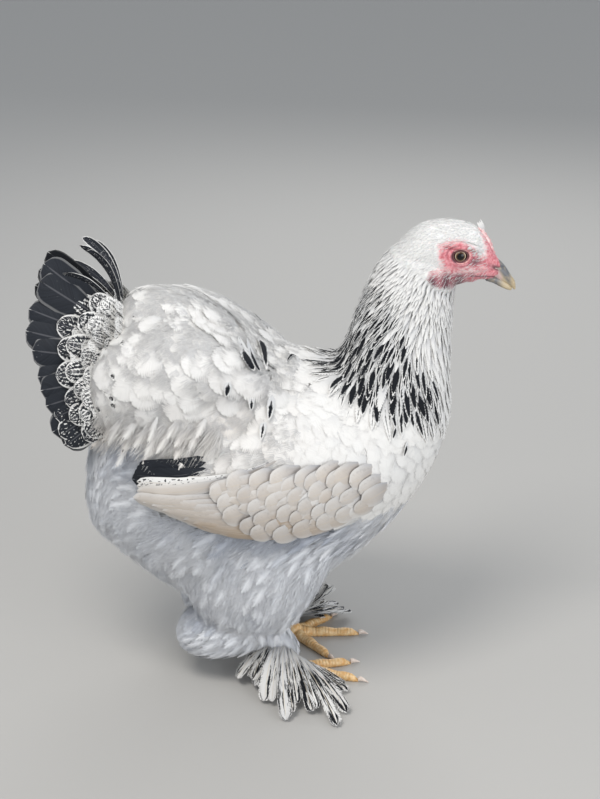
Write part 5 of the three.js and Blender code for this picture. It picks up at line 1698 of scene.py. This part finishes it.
# Length, thickness, joints
TOES = {"middle": (62, 1.0, 3), "inner": (54, 1.0, 3), "outer": (50, 1.0, 3), "hind": (27, 0.86, 2)}
# Stations of a claw: distance past the toe's length, height above the floor, radius
CLAW = [(2.4, 3.0, 2.6), (4.5, 3.5, 2.35), (7, 3.1, 1.8), (9.6, 2.0, 1.1), (12.2, 0.9, 0.35)]
ANKLE = (-6.0, 34.0, 0.0)
TOE_RADIUS, SCUTE_LENGTH = 5, 3.1
TOE_ROWS, TOE_SIDES = 90, 28


def toe_shape(hub, away, length, size, joints):
    """A scaly toe from the ankle along the floor, and how deep in a crease each of its places lies."""
    t = np.linspace(0, 1 + 2.4 / length, TOE_ROWS)
    swell = 1 + 0.06 * np.cos(t * joints * 2 * math.pi + math.pi)
    radius = TOE_RADIUS * size * mix(1.12, 0.72, np.minimum(t, 1)) * swell
    radius = radius * np.sqrt(np.clip((1 + 2.6 / length - t) / (7.0 / length), 0.12, 1))
    angle = np.linspace(0, 2 * math.pi, TOE_SIDES, endpoint=False)
    c, s = np.cos(angle), np.sin(angle)
    scute = np.abs(((t * length / SCUTE_LENGTH) % 1) - 0.5) * 2
    top = smooth(s, -0.05, 0.35)[None, :]
    notch = smooth(scute, 0.70, 1.0)[:, None]
    r = radius[:, None] * (1 - 0.10 * notch * top + 0.03 * top)
    r = r * (1 + 0.05 * np.sin(t * length * 1.6)[:, None] * smooth(-s, 0.1, 0.6)[None, :])
    centre = hub + away * (t * length)[:, None]
    centre[:, 2] = FLOOR + radius * 0.9
    lateral = np.array([-away[1], away[0], 0.0])
    v = centre[:, None] + lateral * (r * c)[..., None] + np.array([0, 0, 1.0]) * (r * s)[..., None]
    return (v.reshape(-1, 3), tube_faces(TOE_ROWS, TOE_SIDES, inward=True)), (notch * top).ravel()


mat_toe = toe_material()
mat_claw = plain_material("claw_horn", (0.62, 0.50, 0.42, 1), 0.35, other=(0.74, 0.64, 0.56, 1), scale=200.0)
for side, label in SIDES:
    hub = np.array(ANKLE) * (1, side, 1)
    shapes, creases = [], []
    for toe, degrees in FEET[side].items():
        a = math.radians(degrees)
        away = np.array([math.cos(a), side * math.sin(a), 0.0])
        length, size, joints = TOES[toe]
        shape, crease = toe_shape(hub, away, length, size, joints)
        shapes.append(shape)
        creases.append(crease)
        stations = [[*(hub + away * (length + past))[:2], FLOOR + z, r * 0.86, r, r] for past, z, r in CLAW]
        v, faces = loft(stations, 20, 16, plumb=tuple(away))
        v[:, 2] = np.maximum(v[:, 2], FLOOR + 0.05)
        make_object(f"nail_{toe}_{label}", v, faces, mat_claw, [f"claw_{toe}_{label}"])
    heel = ball(hub + (0, 0, FLOOR + 7.2), 8.4)
    v, faces = merged(shapes + [heel])
    v[:, 2] = np.maximum(v[:, 2], FLOOR + 0.02)
    crease = np.concatenate(creases + [np.zeros(len(heel[0]))])
    make_object(f"toes_{label}", v, faces, mat_toe, [f"foot_{label}"],
                marks=marks_of(crease, 0.0, 0.0, 1.0))

# Floor, light and camera

floor = linked("floor", raw_mesh("floor", [(-6, -4, 0), (6, -4, 0), (6, 8, 0), (-6, 8, 0)], [(0, 1, 2, 3)]))
floor.data.materials.append(plain_material("floor_paint", (0.47, 0.455, 0.43, 1), 0.8, spec=0.2))

# Name, place, place looked at, diameter, power, colour
LIGHTS = [
    ("key", (-0.5, -0.9, 1.9), (0, 0, 0.2), 0.9, 23, (1.0, 0.975, 0.94)),
    ("fill", (1.35, -1.5, 0.6), (0, 0, 0.22), 1.6, 20, (0.95, 0.97, 1.0)),
    ("back", (0.3, 1.6, 1.3), (0, 0, 0.25), 1.2, 10, (1.0, 1.0, 1.0)),
]
SKY, SKY_STRENGTH = (0.86, 0.92, 1.0, 1), 0.60
TILT = math.radians(22.0)
DISTANCE, AIM_HEIGHT = 1600.0, 260.56
FOCAL, LONG_SIDE = 1739.13, 799.0  # in the picture's own dots
SENSOR = 36.0


def turned_to(obj, look):
    """Points a light or camera along look."""
    obj.rotation_mode = "QUATERNION"
    obj.rotation_quaternion = look.to_track_quat("-Z", "Y")


for name, place, aim, size, power, colour in LIGHTS:
    data = bpy.data.lights.new(name, "AREA")
    data.shape = "DISK"
    data.size = size
    data.energy = power
    data.color = colour
    light = linked(name, data)
    light.location = place
    turned_to(light, Vector(aim) - Vector(place))
world = bpy.data.worlds.new("studio")
world.use_nodes = True
sky = world.node_tree.nodes["Background"]
sky.inputs["Color"].default_value = SKY
sky.inputs["Strength"].default_value = SKY_STRENGTH
bpy.context.scene.world = world

lens = bpy.data.cameras.new("camera")
lens.lens = FOCAL * SENSOR / LONG_SIDE
lens.sensor_width = SENSOR
lens.clip_start = 0.05
lens.clip_end = 30
camera = linked("camera", lens)
look = Vector((0, math.cos(TILT), -math.sin(TILT)))
camera.location = Vector((np.array([0, 0, AIM_HEIGHT]) + SHIFT) / 1000) - look * (DISTANCE / 1000)
turned_to(camera, look)
bpy.context.scene.camera = camera
bpy.context.scene.view_settings.view_transform = "Standard"
